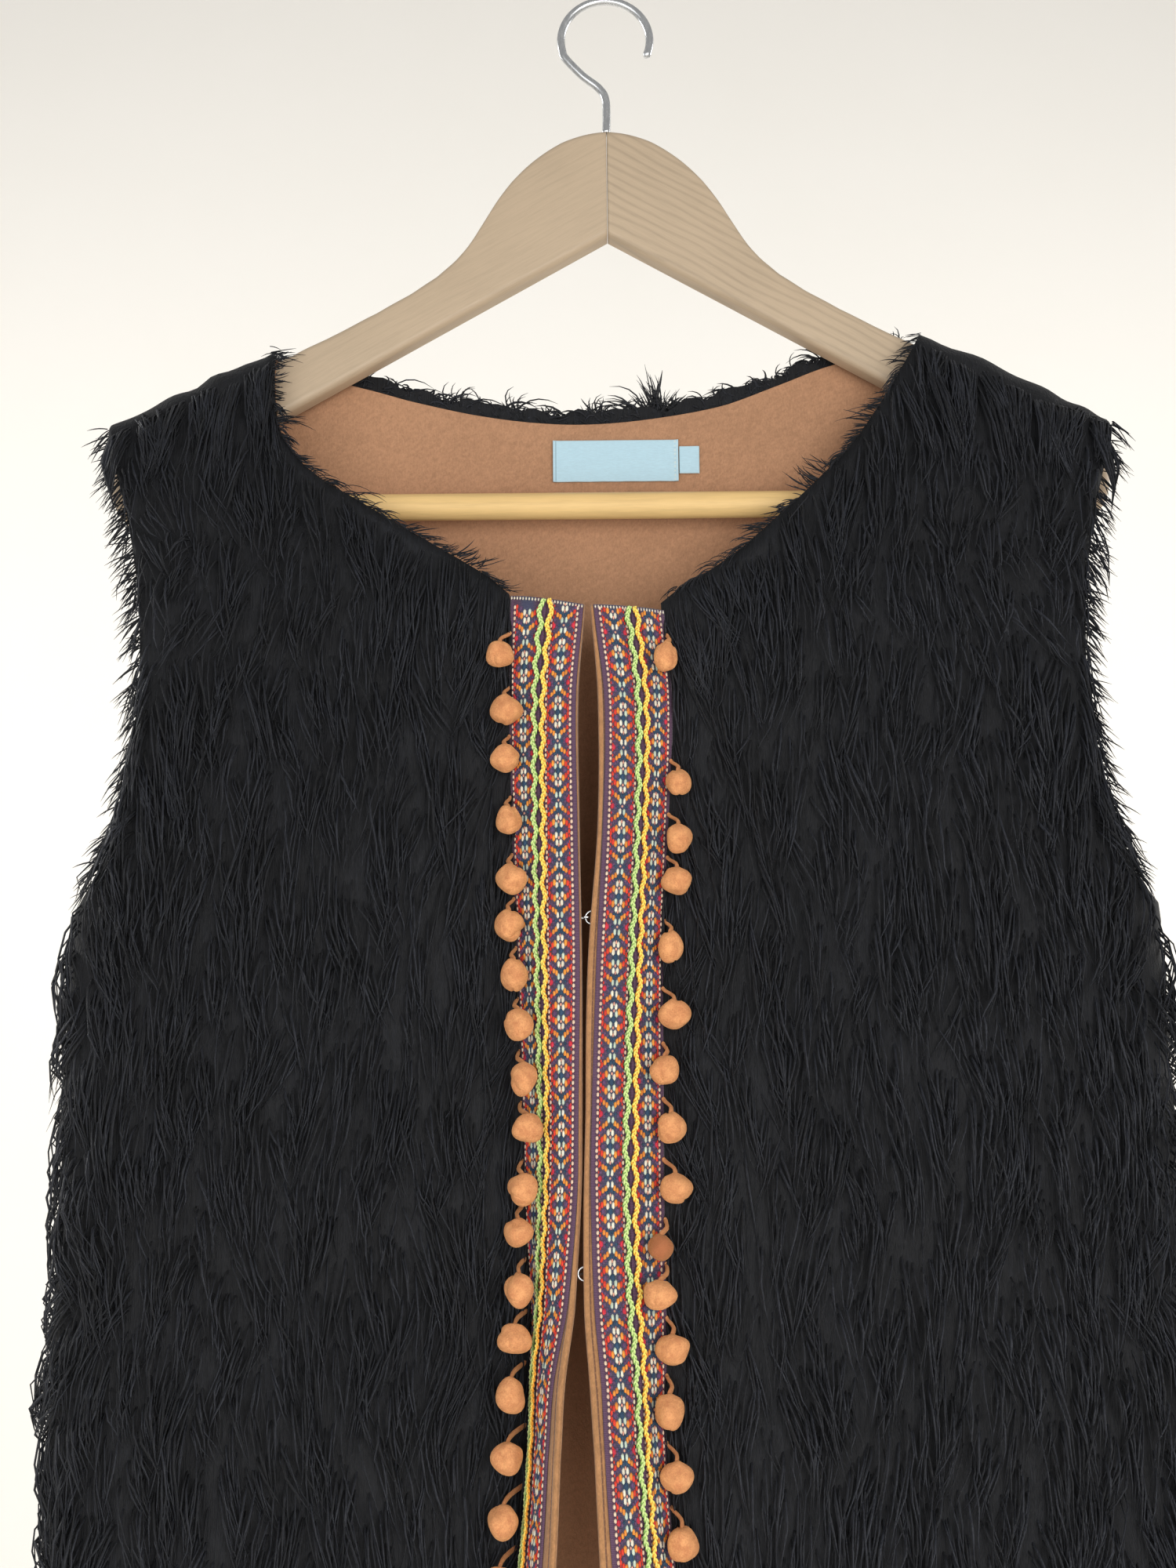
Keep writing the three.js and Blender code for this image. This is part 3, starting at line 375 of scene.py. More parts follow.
def ribbon_top(side, w):
    """Height of the ribbons' sewn-down ends, from the inner side of the band to the outer."""
    inner, outer = TOP_BELOW[side]
    return BAND_TOP_Z - lerp(inner, outer, np.clip(w / BAND_WIDTH, 0, 1))


def band_end(side, z):
    return lookup(BAND[side], "margin", z) + BAND_WIDTH + 2 * SEAM_GAP


def front_span(side, z):
    """Where a front begins and ends across, for a height at its front edge."""
    held = np.minimum(z, BAND_TOP_Z)
    end, _ = band_point(side, band_end(side, held), held)
    inner = np.where(z <= BAND_TOP_Z, np.abs(end[..., 0]), lookup(NECKLINE[side], "x", z))
    top = shoulder_top(NECK[side])
    fall = (top - shoulder_top(SHOULDER_END)) * smoothstep(z, SHOULDER_LEVELS_OUT_Z, top)
    return inner, armhole_x(z - fall), fall, end


def front_surface(side, share, z):
    """The inside face of a front. share goes from its front edge or neckline, 0, to the
    armhole or side seam, 1; z is the height at the front edge, and the shoulder's slope is
    shared out across it. Near the front edge the cloth leaves the body's depth for the band's."""
    share, z = np.broadcast_arrays(np.asarray(share, float), np.asarray(z, float))
    inner, outer, fall, end = front_span(side, z)
    x = SIGN[side] * lerp(inner, outer, share)
    height = z - fall * share
    rest = np.clip(1 - share, 0, 1.1) ** (1 / SIDE_SPREAD)
    bound = (1 - smoothstep(z, BAND_TOP_Z, BOUND_TO_BAND_Z)) * rest ** 3
    top = shoulder_top(NECK[side])
    stand = np.where(z >= top - 1e-6, 0, depth_at(x, height, "front"))
    y = -SEAM_GAP / 2 - lerp(stand, -end[..., 1], bound)
    return np.stack([x, y, height], -1)


def back_top(share):
    """Upper edge of the back: a shallow bowl at the neck, the hanger's slope beside it."""
    x = share * SHOULDER_END
    reach = np.where(share < 0, NECK["left"], NECK["right"])
    return np.where(np.abs(x) < reach - 0.01, through(NECK_SEAM, "x", "z", x), shoulder_top(x))


def back_surface(share, z):
    """The inside face of the back, share from -1 to 1 across."""
    share, z = np.broadcast_arrays(np.asarray(share, float), np.asarray(z, float))
    x = share * armhole_x(z)
    reach = np.where(share < 0, NECK["left"], NECK["right"])
    on_neck = np.abs(share * SHOULDER_END) < reach - 0.01
    seam = (z >= back_top(share) - 1e-6) & ~on_neck
    stand = np.where(seam, 0, depth_at(x, z, "back"))
    return np.stack([x, SEAM_GAP / 2 + stand, z], -1)


def facing(surface, share, z, outward):
    """Directions straight off a surface: the cross product of a small step across and a
    small step down, turned to the side that outward points to."""
    across = surface(share + 0.004, z) - surface(share - 0.004, z)
    down = surface(share, z - 1.5) - surface(share, z + 0.3)
    normal = unit(np.cross(across, down))
    flip = np.sum(normal * outward, -1, keepdims=True) < 0
    return np.where(flip, -normal, normal)


def front_facing(side, share, z):
    outward = np.array([0.35 * SIGN[side], -1.0, 0.12])
    return facing(lambda s, h: front_surface(side, s, h), share, z, outward)


def back_facing(share, z):
    point = back_surface(share, z)
    outward = np.stack([0.0016 * point[..., 0], np.ones_like(share * z), 0.12 + 0 * share * z], -1)
    return facing(back_surface, share, z, outward)


def front_panel(side):
    """A front's surface and the directions straight off it, as functions of share and z."""
    return (lambda share, z: front_surface(side, share, z),
            lambda share, z: front_facing(side, share, z))


def front_shares(count):
    """Places across a front, wider apart near its front edge."""
    return 1 - (1 - np.linspace(0, 1, count)) ** SIDE_SPREAD


# Meshes

def grid_quads(index):
    return np.stack([index[:-1, :-1], index[:-1, 1:], index[1:, 1:], index[1:, :-1]], -1).reshape(-1, 4)


def outward(points, faces):
    """Faces turned so that the solid's signed volume is positive."""
    p = points[faces]
    volume = np.sum(p[:, 0] * np.cross(p[:, 1], p[:, 2]))
    if faces.shape[1] == 4:
        volume += np.sum(p[:, 0] * np.cross(p[:, 2], p[:, 3]))
    return faces[:, ::-1] if volume < 0 else faces


def wall(near, far):
    """Closed wall between two grids of points: both faces and the four rims."""
    count = near.shape[0] * near.shape[1]
    index = np.arange(2 * count).reshape(2, *near.shape[:2])
    points = np.concatenate([near.reshape(-1, 3), far.reshape(-1, 3)])
    faces = np.concatenate([
        grid_quads(index[0]), grid_quads(index[1])[:, ::-1],
        grid_quads(index[:, 0])[:, ::-1], grid_quads(index[:, -1]),
        grid_quads(index[:, :, 0]), grid_quads(index[:, :, -1])[:, ::-1],
    ])
    return points, outward(points, faces)


def ring_faces(index):
    """Quads round tubes whose points are indexed (tube, step, side)."""
    a, b = index[:, :-1], index[:, 1:]
    return np.stack([a, np.roll(a, -1, 2), np.roll(b, -1, 2), b], -1).reshape(-1, 4)


def tubes(paths, radii, sides, up=(0.0, -1.0, 0.0), flat=1.0):
    """Closed tubes along many paths (tube, step, xyz) at once. Round each point of a path
    stands a ring, in the plane across the path, and both ends shrink to a small cap."""
    along = unit(np.gradient(paths, axis=1))
    up = np.broadcast_to(np.asarray(up, float), along.shape)
    out = unit(up - along * np.sum(up * along, -1, keepdims=True))
    beside = np.cross(along, out)
    angle = 2 * np.pi * np.arange(sides) / sides
    ring = (beside[:, :, None] * (flat * np.cos(angle))[:, None]
            + out[:, :, None] * np.sin(angle)[:, None])
    points = paths[:, :, None] + ring * radii[:, :, None, None]
    index = np.arange(points.size // 3).reshape(points.shape[:3])
    faces = ring_faces(index)
    caps = []
    for k in range(1, sides - 1):
        caps.append(index[:, 0, [0, k + 1, k]])
        caps.append(index[:, -1, [0, k, k + 1]])
    points = points.reshape(-1, 3)
    turned = outward(points, faces)
    caps = np.concatenate(caps)
    if turned is not faces:
        caps = caps[:, ::-1]
    return points, [turned, caps]


def joined(parts):
    """Several (points, [face arrays]) as one, with each part's number of points."""
    points, faces, start, counts = [], [], 0, []
    for part_points, part_faces in parts:
        points.append(part_points)
        for array in part_faces if isinstance(part_faces, list) else [part_faces]:
            faces.append(array + start)
        start += len(part_points)
        counts.append(len(part_points))
    return np.concatenate(points), faces, counts


def mesh_piece(name, points, faces, uv=None, tone=None, colour=None):
    """A mesh object at the origin from points in millimetres and arrays of faces, with a
    UV for each point, a tone from 0 to 1 and a colour where they are given."""
    mesh = bpy.data.meshes.new(name)
    points = np.ascontiguousarray(points, np.float32).reshape(-1, 3) * np.float32(MM)
    faces = faces if isinstance(faces, list) else [faces]
    corners = np.concatenate([f.ravel() for f in faces]).astype(np.int32)
    sizes = np.concatenate([np.full(len(f), f.shape[1]) for f in faces])
    starts = np.concatenate([[0], np.cumsum(sizes)[:-1]]).astype(np.int32)
    mesh.vertices.add(len(points))
    mesh.vertices.foreach_set("co", points.ravel())
    mesh.loops.add(len(corners))
    mesh.loops.foreach_set("vertex_index", corners)
    mesh.polygons.add(len(sizes))
    mesh.polygons.foreach_set("loop_start", starts)
    mesh.update(calc_edges=True)
    mesh.polygons.foreach_set("use_smooth", np.ones(len(sizes), bool))
    if uv is not None:
        layer = mesh.uv_layers.new(name="UVMap")
        layer.data.foreach_set("uv", np.asarray(uv, np.float32).reshape(-1, 2)[corners].ravel())
    if tone is not None:
        layer = mesh.attributes.new("tone", "FLOAT", "POINT")
        layer.data.foreach_set("value", np.asarray(tone, np.float32).ravel())
    if colour is not None:
        layer = mesh.attributes.new("thread", "FLOAT_COLOR", "POINT")
        layer.data.foreach_set("color", np.asarray(colour, np.float32).ravel())
    mesh.update()
    piece = bpy.data.objects.new(name, mesh)
    bpy.context.scene.collection.objects.link(piece)
    return piece


def finish_piece(piece, material, nodes=()):
    piece.data.materials.append(material)
    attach(piece, "root")
    if nodes:
        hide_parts(*nodes)
    return piece


# Shaders

def paint(red, green, blue):
    """Linear colour of a screen colour from 0 to 255."""
    linear = [c / 12.92 if c <= 0.04045 else ((c + 0.055) / 1.055) ** 2.4
              for c in (red / 255, green / 255, blue / 255)]
    return (*linear, 1.0)


def maths_method(operation, reflected=False):
    """A method that adds a Math node. The reflected form swaps its two operands."""

    def method(self, *others):
        operands = (*others, self) if reflected else (self, *others)
        return self.shader.node("ShaderNodeMath", {"operation": operation}, dict(enumerate(operands)))

    return method


class Value:
    """A number socket in a shader: Python's operators on it add Math nodes."""

    def __init__(self, shader, socket):
        self.shader, self.socket = shader, socket

    __add__ = maths_method("ADD")
    __radd__ = maths_method("ADD", reflected=True)
    __sub__ = maths_method("SUBTRACT")
    __rsub__ = maths_method("SUBTRACT", reflected=True)
    __mul__ = maths_method("MULTIPLY")
    __rmul__ = maths_method("MULTIPLY", reflected=True)
    __pow__ = maths_method("POWER")
    __abs__ = maths_method("ABSOLUTE")
    sine = maths_method("SINE")
    fraction = maths_method("FRACT")

    def band(self, low, high):
        """0 below low, 1 above high, smooth between."""
        return self.shader.node("ShaderNodeMapRange", {"interpolation_type": "SMOOTHSTEP"},
                                {"Value": self, "From Min": low, "From Max": high})


class Shader:
    """A material with one Principled BSDF, whose nodes are added by one method."""

    def __init__(self, name, **fixed):
        self.material = bpy.data.materials.new(name)
        self.material.use_nodes = True
        self.tree = self.material.node_tree
        self.bsdf = self.tree.nodes["Principled BSDF"]
        for socket, value in fixed.items():
            self.bsdf.inputs[socket.replace("_", " ")].default_value = value

    def node(self, kind, settings=None, inputs=None, output=0):
        made = self.tree.nodes.new(kind)
        for name, value in (settings or {}).items():
            if name == "stops":
                ramp = made.color_ramp.elements
                for k, (place, colour) in enumerate(value):
                    stop = ramp[k] if k < 2 else ramp.new(place)
                    stop.position, stop.color = place, colour
            else:
                setattr(made, name, value)
        for key, value in (inputs or {}).items():
            self.feed(made.inputs[key], value)
        return Value(self, made.outputs[output])

    def feed(self, socket, value):
        if isinstance(value, Value):
            self.tree.links.new(value.socket, socket)
        else:
            socket.default_value = value

    def place(self, scale=(1, 1, 1), turn=(0, 0, 0), source="Object"):
        """Object or UV coordinates in metres, turned and then stretched."""
        coords = self.node("ShaderNodeTexCoord", output=source)
        turned = self.node("ShaderNodeMapping", {}, {"Vector": coords, "Rotation": turn})
        return self.node("ShaderNodeMapping", {}, {"Vector": turned, "Scale": scale})

    def noise(self, at, scale, detail=3.0, roughness=0.55, distortion=0.0):
        return self.node("ShaderNodeTexNoise", {}, {
            "Vector": at, "Scale": scale, "Detail": detail, "Roughness": roughness,
            "Distortion": distortion})

    def split(self, vector):
        made = self.node("ShaderNodeSeparateXYZ", {}, {0: vector})
        outputs = made.socket.node.outputs
        return [Value(self, outputs[k]) for k in range(3)]

    def attribute(self, name, output="Fac"):
        return self.node("ShaderNodeAttribute", {"attribute_name": name}, output=output)

    def mix(self, factor, a, b, blend="MIX"):
        made = self.node("ShaderNodeMix", {"data_type": "RGBA", "blend_type": blend},
                         {0: factor, 6: a, 7: b})
        return Value(self, made.socket.node.outputs[2])

    def bump(self, height, distance, strength=1.0):
        """Bump whose height of 1 stands distance metres high."""
        return self.node("ShaderNodeBump", {}, {
            "Height": height, "Distance": distance, "Strength": strength})

    def set(self, **sockets):
        for name, value in sockets.items():
            self.feed(self.bsdf.inputs[name.replace("_", " ")], value)
        return self.material


def tinted(colour, factor):
    return tuple(min(c * factor, 1.0) for c in colour[:3]) + (1.0,)


def suede_finish(name, colour):
    """Brushed suede: a cloudy nap that lies lighter and darker, under short fine fibres."""
    shader = Shader(name, Roughness=0.95, Sheen_Weight=0.35, Sheen_Roughness=0.55,
                    Specular_IOR_Level=0.15)
    shader.bsdf.inputs["Sheen Tint"].default_value = tinted(colour, 1.6)
    at = shader.place()
    clouds = shader.noise(at, 16, 3)
    strokes = shader.noise(shader.place(scale=(1, 1, 1.8), turn=(0, 0.5, 0)), 330, 4, 0.65)
    fibres = shader.noise(shader.place(scale=(1, 1, 0.55)), 1300, 2, 0.7)
    nap = clouds * 0.3 + strokes * 0.45 + fibres * 0.45
    base = shader.mix(nap.band(0.36, 0.84), tinted(colour, 0.78), tinted(colour, 1.18))
    bump = shader.bump(fibres * 0.6 + strokes * 0.5, 0.0005, 0.8)
    return shader.set(Base_Color=base, Normal=bump)


def fur_finish(name, colour):
    """Black fur: strands darker at the root, which is painted shade, some bluish and some warm, with a silky
    gloss.
    """
    shader = Shader(name, Specular_IOR_Level=0.35, Sheen_Weight=0.05, Sheen_Roughness=0.4)
    tone = shader.attribute("tone")
    at = shader.place()
    patches = shader.noise(at, 30, 2)
    fine = shader.noise(shader.place(scale=(1, 1, 0.09)), 900, 3, 0.7)
    # Low tone at the strands' roots and on the underfur gives painted shade deep in the fur; the lighter
    # bluish end is partly each strand's own random tone and partly a painted highlight of the gloss.
    light = (tone * 0.7 + patches * 0.35 + (fine - 0.5) * 0.9).band(0.0, 1.0)
    base = shader.mix(light, tinted(colour, 0.4), tinted(colour, 2.2))
    return shader.set(Base_Color=base, Roughness=0.68 - tone * 0.2,
                      Normal=shader.bump(fine, 0.0012, 0.9))


def wood_finish(name, colour, turn, figure):
    """Planed wood: long pores and growth lines along the grain, a little worn and grey."""
    shader = Shader(name, Specular_IOR_Level=0.4, Coat_Roughness=0.35)
    at = shader.place(turn=(0, turn, 0))
    x, y, z = shader.split(at)
    drift = shader.noise(shader.place(scale=(6, 20, 20), turn=(0, turn, 0)), 2.2, 2)
    lines = ((z * 1500 + y * 260 + drift * 14).sine() * 0.5 + 0.5) ** 3
    pores = shader.noise(shader.place(scale=(9, 160, 160), turn=(0, turn, 0)), 9, 3, 0.65)
    blotch = shader.noise(at, 28, 3)
    grain = lines * figure + pores * 0.5 + blotch * 0.25
    base = shader.mix(grain.band(0.15, 0.95), tinted(colour, 1.1), tinted(colour, 0.76))
    return shader.set(Base_Color=base, Roughness=0.42 + pores * 0.25, Coat_Weight=0.12,
                      Normal=shader.bump(pores * -0.6 + lines * 0.2, 0.00012, 0.6))


def felt_finish(name, colour, turned):
    """Felted wool cloth: matt, with a fuzz of short fibres; tone turns it browner."""
    shader = Shader(name, Roughness=0.95, Sheen_Weight=0.5, Sheen_Roughness=0.5,
                    Specular_IOR_Level=0.15)
    shader.bsdf.inputs["Sheen Tint"].default_value = tinted(colour, 1.4)
    tone = shader.attribute("tone")
    at = shader.place()
    lumps = shader.noise(at, 260, 3, 0.6)
    fuzz = shader.noise(at, 1700, 3, 0.7)
    light = (lumps * 0.6 + fuzz * 0.55).band(0.38, 0.82)
    base = shader.mix(light, tinted(colour, 0.64), tinted(colour, 1.22))
    base = shader.mix(tone, base, turned)
    return shader.set(Base_Color=base, Normal=shader.bump(lumps * 0.5 + fuzz * 0.7, 0.0006, 0.9))


def ribbon_finish(name):
    """Woven ribbon: a ribbed ground and shiny raised threads, told apart by the tone and
    coloured by the stitch. The UV runs across and down in millimetres."""
    shader = Shader(name, Specular_IOR_Level=0.3, Sheen_Weight=0.2, Sheen_Roughness=0.4)
    raised = shader.attribute("tone")
    own = shader.attribute("thread", "Color")
    across, down, _ = shader.split(shader.place(source="UV"))
    ribs = (down * 9.6).sine() * 0.5 + 0.5
    warps = (across * 12.5).sine() * 0.5 + 0.5
    floats = shader.noise(shader.place(scale=(1, 1, 0.14)), 2300, 2, 0.6)
    wear = shader.noise(shader.place(), 210, 3)
    ground = ribs * 0.6 + warps * 0.25
    shade = (ground * (1 - raised) + floats * raised * 1.1) + wear * 0.3
    dark = shader.mix(1.0, own, (0.62, 0.58, 0.62, 1), "MULTIPLY")
    base = shader.mix(shade.band(0.25, 0.95), dark, own)
    return shader.set(Base_Color=base, Roughness=0.72 - raised * 0.2 + wear * 0.15,
                      Normal=shader.bump(shade, 0.0003, 0.7))


def cord_finish(name, light, dark):
    """Plaited cotton cord: fine twisted plies, with painted shade, darker and warmer, deep between them."""
    shader = Shader(name, Specular_IOR_Level=0.3, Sheen_Weight=0.25, Sheen_Roughness=0.4)
    # The tone is each point's height on its ply: the low places between the plies mix towards the dark
    # colour as painted shade.
    height = shader.attribute("tone")
    plies = shader.noise(shader.place(scale=(1, 1, 0.5)), 2600, 2, 0.6)
    wear = shader.noise(shader.place(), 190, 3)
    shade = (height * 0.9 + (plies - 0.5) * 0.45 + (wear - 0.5) * 0.25)
    base = shader.mix(shade.band(0.1, 0.75), dark, light)
    return shader.set(Base_Color=base, Roughness=0.6 + wear * 0.2,
                      Normal=shader.bump(plies, 0.0002, 0.7))


def steel_finish(name):
    """Bright drawn wire with faint lengthwise scratches."""
    shader = Shader(name, Metallic=1.0)
    marks = shader.noise(shader.place(scale=(1, 1, 0.3)), 700, 3, 0.6)
    base = shader.mix(marks, (0.50, 0.52, 0.54, 1), (0.80, 0.81, 0.82, 1))
    return shader.set(Base_Color=base, Roughness=0.16 + marks * 0.2,
                      Normal=shader.bump(marks, 0.00005, 0.4))


def edge_finish(name, colour, seam):
    """Folded suede edge: nap as on the lining, and a brown line of stitches along it. The UV
    runs across in millimetres from the front edge and down in millimetres."""
    shader = Shader(name, Roughness=0.92, Sheen_Weight=0.3, Sheen_Roughness=0.5,
                    Specular_IOR_Level=0.15)
    across, down, _ = shader.split(shader.place(source="UV"))
    at = shader.place()
    nap = shader.noise(at, 240, 3, 0.6)
    fuzz = shader.noise(shader.place(scale=(1, 1, 0.5)), 1500, 2, 0.7)
    base = shader.mix((nap * 0.5 + fuzz * 0.6).band(0.3, 0.85), tinted(colour, 0.72), tinted(colour, 1.2))
    line = 1 - (abs(across - 1.5 + nap * 0.3)).band(0.12, 0.42)
    stitch = (down * 0.4).fraction().band(0.1, 0.25) * line
    base = shader.mix(line * 0.45 + stitch * 0.45, base, seam)
    bump = shader.bump(fuzz * 0.3 + nap * 0.3 - line * 0.8, 0.0005, 0.9)
    return shader.set(Base_Color=base, Normal=bump)


def label_finish(name, colour, hem):
    """Woven satin label: fine crossing threads, and paler woven edges. The UV runs in
    millimetres from the label's middle."""
    shader = Shader(name, Specular_IOR_Level=0.3, Sheen_Weight=0.2)
    across, down, _ = shader.split(shader.place(source="UV"))
    warp = (across * 15.7).sine() * 0.5 + 0.5
    weft = (down * 20.9).sine() * 0.5 + 0.5
    slubs = shader.noise(shader.place(scale=(1, 1, 6)), 420, 3, 0.6)
    tone = shader.attribute("tone")
    base = shader.mix((slubs * 0.6 + warp * 0.2 + weft * 0.2).band(0.25, 0.8),
                      tinted(colour, 0.88), tinted(colour, 1.07))
    base = shader.mix(tone.band(0.5, 1.0), base, hem)
    base = shader.mix(1 - tone.band(0.0, 0.5), base, tinted(colour, 0.55))
    return shader.set(Base_Color=base, Roughness=0.6 + slubs * 0.2,
                      Normal=shader.bump(warp * 0.5 + weft * 0.5 + slubs * 0.4, 0.00012, 0.7))


# Hanger

def arm_piece(side, rounding):
    """One half of the hanger, lofted outward. At each x the section is a rounded oblong
    between the upper edge's curve and the straight underside, and at the end the underside
    steps down to hold the bar and the section shrinks to a round tip."""
    step = BAR_END + SEAM_GAP
    tip = ARM_TIP + 2
    x = np.concatenate([[SEAM_GAP / 2], np.linspace(1.2, step - 1.2, 110), [step - 0.02, step + 0.02],
                        step + (tip - step) * np.sin(np.linspace(0.1, np.pi / 2, 22))])
    high = np.where(x < ARM_STRAIGHT_FROM, through(ARM_UPPER_EDGE, "x", "z", x),
                    ARM_STRAIGHT_Z - ARM_TIP_SLOPE * (x - ARM_STRAIGHT_FROM))
    past = np.clip((x - step) / (tip - step), 0, 1)
    low = np.where(x < step, ARM_UNDERSIDE_Z * x / step, BAR_SEAT_Z)
    middle = np.where(past > 0, lerp((high + low) / 2, ARM_TIP_Z, past ** 3), (high + low) / 2)
    shrink = np.sqrt(np.clip(1 - past ** 2.6, 0.0005, 1))
    half_tall = (high - low) / 2 * shrink
    half_thick = HANGER_THICKNESS / 2 * np.sqrt(np.clip(1 - past ** 4, 0.001, 1))
    sides = 44
    angle = np.linspace(0, 2 * np.pi, sides, endpoint=False) + np.pi / sides
    corner = np.minimum(rounding, half_thick - 0.01)[:, None]
    cos, sin = np.cos(angle), np.sin(angle)
    y = np.sign(cos) * (half_thick[:, None] - corner) + corner * cos
    z = (np.sign(sin) * np.maximum(half_tall[:, None] - corner, 0)
         + np.minimum(corner, half_tall[:, None]) * sin)
    points = np.stack([np.broadcast_to(SIGN[side] * x[:, None], y.shape), y,
                       middle[:, None] + z + APEX_Z], -1)
    index = np.arange(y.size).reshape(1, *y.shape)
    flat = points.reshape(-1, 3)
    faces = ring_faces(index)
    turned = outward(flat, faces)
    caps = []
    for end, order in ((0, 1), (-1, -1)):
        ring = index[0, end]
        fan = np.stack([np.full(len(ring) - 2, ring[0]), ring[2:], ring[1:-1]], -1)[:, ::order]
        caps.append(fan if turned is faces else fan[:, ::-1])
    return mesh_piece(f"hanger_arm_{side}_wood", flat, [turned] + caps)


def bar_piece():
    """The trouser bar: a round rod with softened ends."""
    x = np.concatenate([[-1, -0.997], np.linspace(-0.99, 0.99, 90), [0.997, 1]]) * (BAR_END - SEAM_GAP / 2)
    end = np.clip((BAR_END - SEAM_GAP / 2 - np.abs(x)) / 1.2, 0, 1)
    radius = BAR_DIAMETER / 2 * (0.86 + 0.14 * np.sqrt(1 - (1 - end) ** 2))
    path = np.stack([x, 0 * x, 0 * x + APEX_Z - BAR_DROP], -1)[None]
    return mesh_piece("hanger_bar_wood", *tubes(path, radius[None], 40))


def smooth_path(points, count):
    """A smooth path through points: a cubic between each two with the neighbours' slopes."""
    points = np.asarray(points, float)
    table = [{"t": i, "x": p[0], "y": p[1], "z": p[2]} for i, p in enumerate(points)]
    t = np.linspace(0, len(points) - 1, count)
    return np.stack([through(table, "t", axis, t) for axis in "xyz"], -1)


def hook_piece():
    """The wire hook: an arc of 230 degrees that bends down to its straight shank."""
    bend, count, rounded = HOOK_BEND + HOOK_WIRE / 2, 170, 3
    angle = np.radians(np.arange(HOOK_ARC["from"], HOOK_ARC["to"] + 1, HOOK_ARC["step"]))
    arc = np.stack([bend * np.cos(angle), 0 * angle, bend * np.sin(angle) - HOOK_BEND], -1)
    shank = [(x, 0, z) for x, z in HOOK_SHANK] + [(0, 0, -HOOK_NECK + 2 * SEAM_GAP)]
    path = smooth_path(np.concatenate([arc, shank]), count)[None]
    ends = np.minimum(np.arange(count), rounded) / rounded
    radius = HOOK_WIRE / 2 * np.sqrt(0.2 + 0.8 * ends)
    return mesh_piece("hanger_hook_wire", *tubes(path, radius[None], 18))


# Lining

def creases(x, z):
    """Soft uneven troughs of hanging cloth, up to about a millimetre deep."""
    fall = 0.8 * np.sin(x * 0.031 + 0.9 * np.sin(z * 0.012)) * np.sin(z * 0.017 + 0.6)
    fine = 0.25 * np.sin(x * 0.11 + z * 0.023) * np.sin(z * 0.061 + x * 0.02)
    return fall + fine


def down_rows(top, bottom, count):
    """Heights from a top edge down: close rows over the shoulder's bend, then even ones."""
    drops = np.array([0, 0.4, 1.1, 2.2, 3.6, 5.2, 7.4, 10])
    t = np.linspace(0, 1, count - len(drops) + 1)[1:]
    top = np.asarray(top, float)
    near = top[None] - drops[:, None]
    far = lerp((top - drops[-1])[None], bottom, t[:, None])
    return np.concatenate([near, far])


def lining_piece(name, surface, facing_out, shares, top, count):
    """A suede panel: a thin wall on its surface, with creases that fade out towards the top."""
    z = down_rows(top, LINING_HEM_Z, count)
    share = np.broadcast_to(shares[None], z.shape)
    face = surface(share, z)
    normal = facing_out(share, z)
    crease = creases(face[..., 0], face[..., 2]) * smoothstep(top[None] - z, 0, 30) * 0.5
    inside = face + normal * crease[..., None]
    points, faces = wall(inside, inside + normal * LINING_THICKNESS)
    return mesh_piece(name, points, faces)


# Fur

def fur_edge(share, z, bottom, on_front):
    """How much of the fur's full depth stands at a place: less beside the bands, at the
    openings and at the hem."""
    across = 1 - np.clip(1 - share, 0, 1) ** (1 / SIDE_SPREAD) if on_front else (1 - np.abs(share)) / 2
    inner = np.where(z <= BAND_TOP_Z + 20, FUR_AT_BAND, FUR_AT_OPENING)
    near = lerp(inner, 1, smoothstep(across, 0, 0.24)) if on_front else 1.0
    side = np.where(z > UNDERARM_Z + 6, FUR_AT_OPENING, FUR_AT_SIDE)
    far = 1 - across if on_front else across
    outer = lerp(side, 1, smoothstep(far, 0, 0.12))
    hem = lerp(FUR_AT_HEM, 1, smoothstep(z - bottom, 0, 40))
    return np.minimum(near, outer) * hem


def fur_core(surface, facing_out, shares, top, count, on_front, crest=0.0):
    """The dark mass of underfur: a lumpy wall over the lining, half as deep as the fur. The
    crest carries it straight up past the cloth's edge."""
    z = down_rows(top + crest, FUR_HEM_Z + 2, count)
    share = np.broadcast_to(shares[None], z.shape)
    held = np.minimum(z, top[None])
    face = surface(share, held)
    face[..., 2] += z - held
    normal = facing_out(share, held)
    lump = 0.5 + 0.25 * (np.sin(face[..., 0] * 0.31 + 1.7 * np.sin(face[..., 2] * 0.13))
                         + np.sin(face[..., 2] * 0.27 + face[..., 0] * 0.09))
    deep = 0.5 * FUR_THICKNESS * (0.6 + 0.4 * lump) * fur_edge(share, z, FUR_HEM_Z, on_front)
    low = face + normal * (LINING_THICKNESS + SEAM_GAP)
    return wall(low, low + normal * deep[..., None])


def strand_tubes(paths, width, rng, sides=3):
    """Strands thickest near the root and pointed at the tip, with a tone for each that rises towards the
    tip, so that the root gets painted shade.
    """
    count, steps = paths.shape[:2]
    t = np.linspace(0, 1, steps)[None]
    radius = width[:, None] * (0.75 + 0.5 * t) * (1 - t ** 2.4) + 0.04
    points, faces = tubes(paths, radius, sides, flat=1.35)
    # 0.2 * t is painted shade at the root: darkest there, lightest at the tip.
    tone = np.clip(rng.random(count)[:, None] * 0.8 + 0.2 * t, 0, 1)
    return points, faces, np.repeat(tone.reshape(-1), sides)


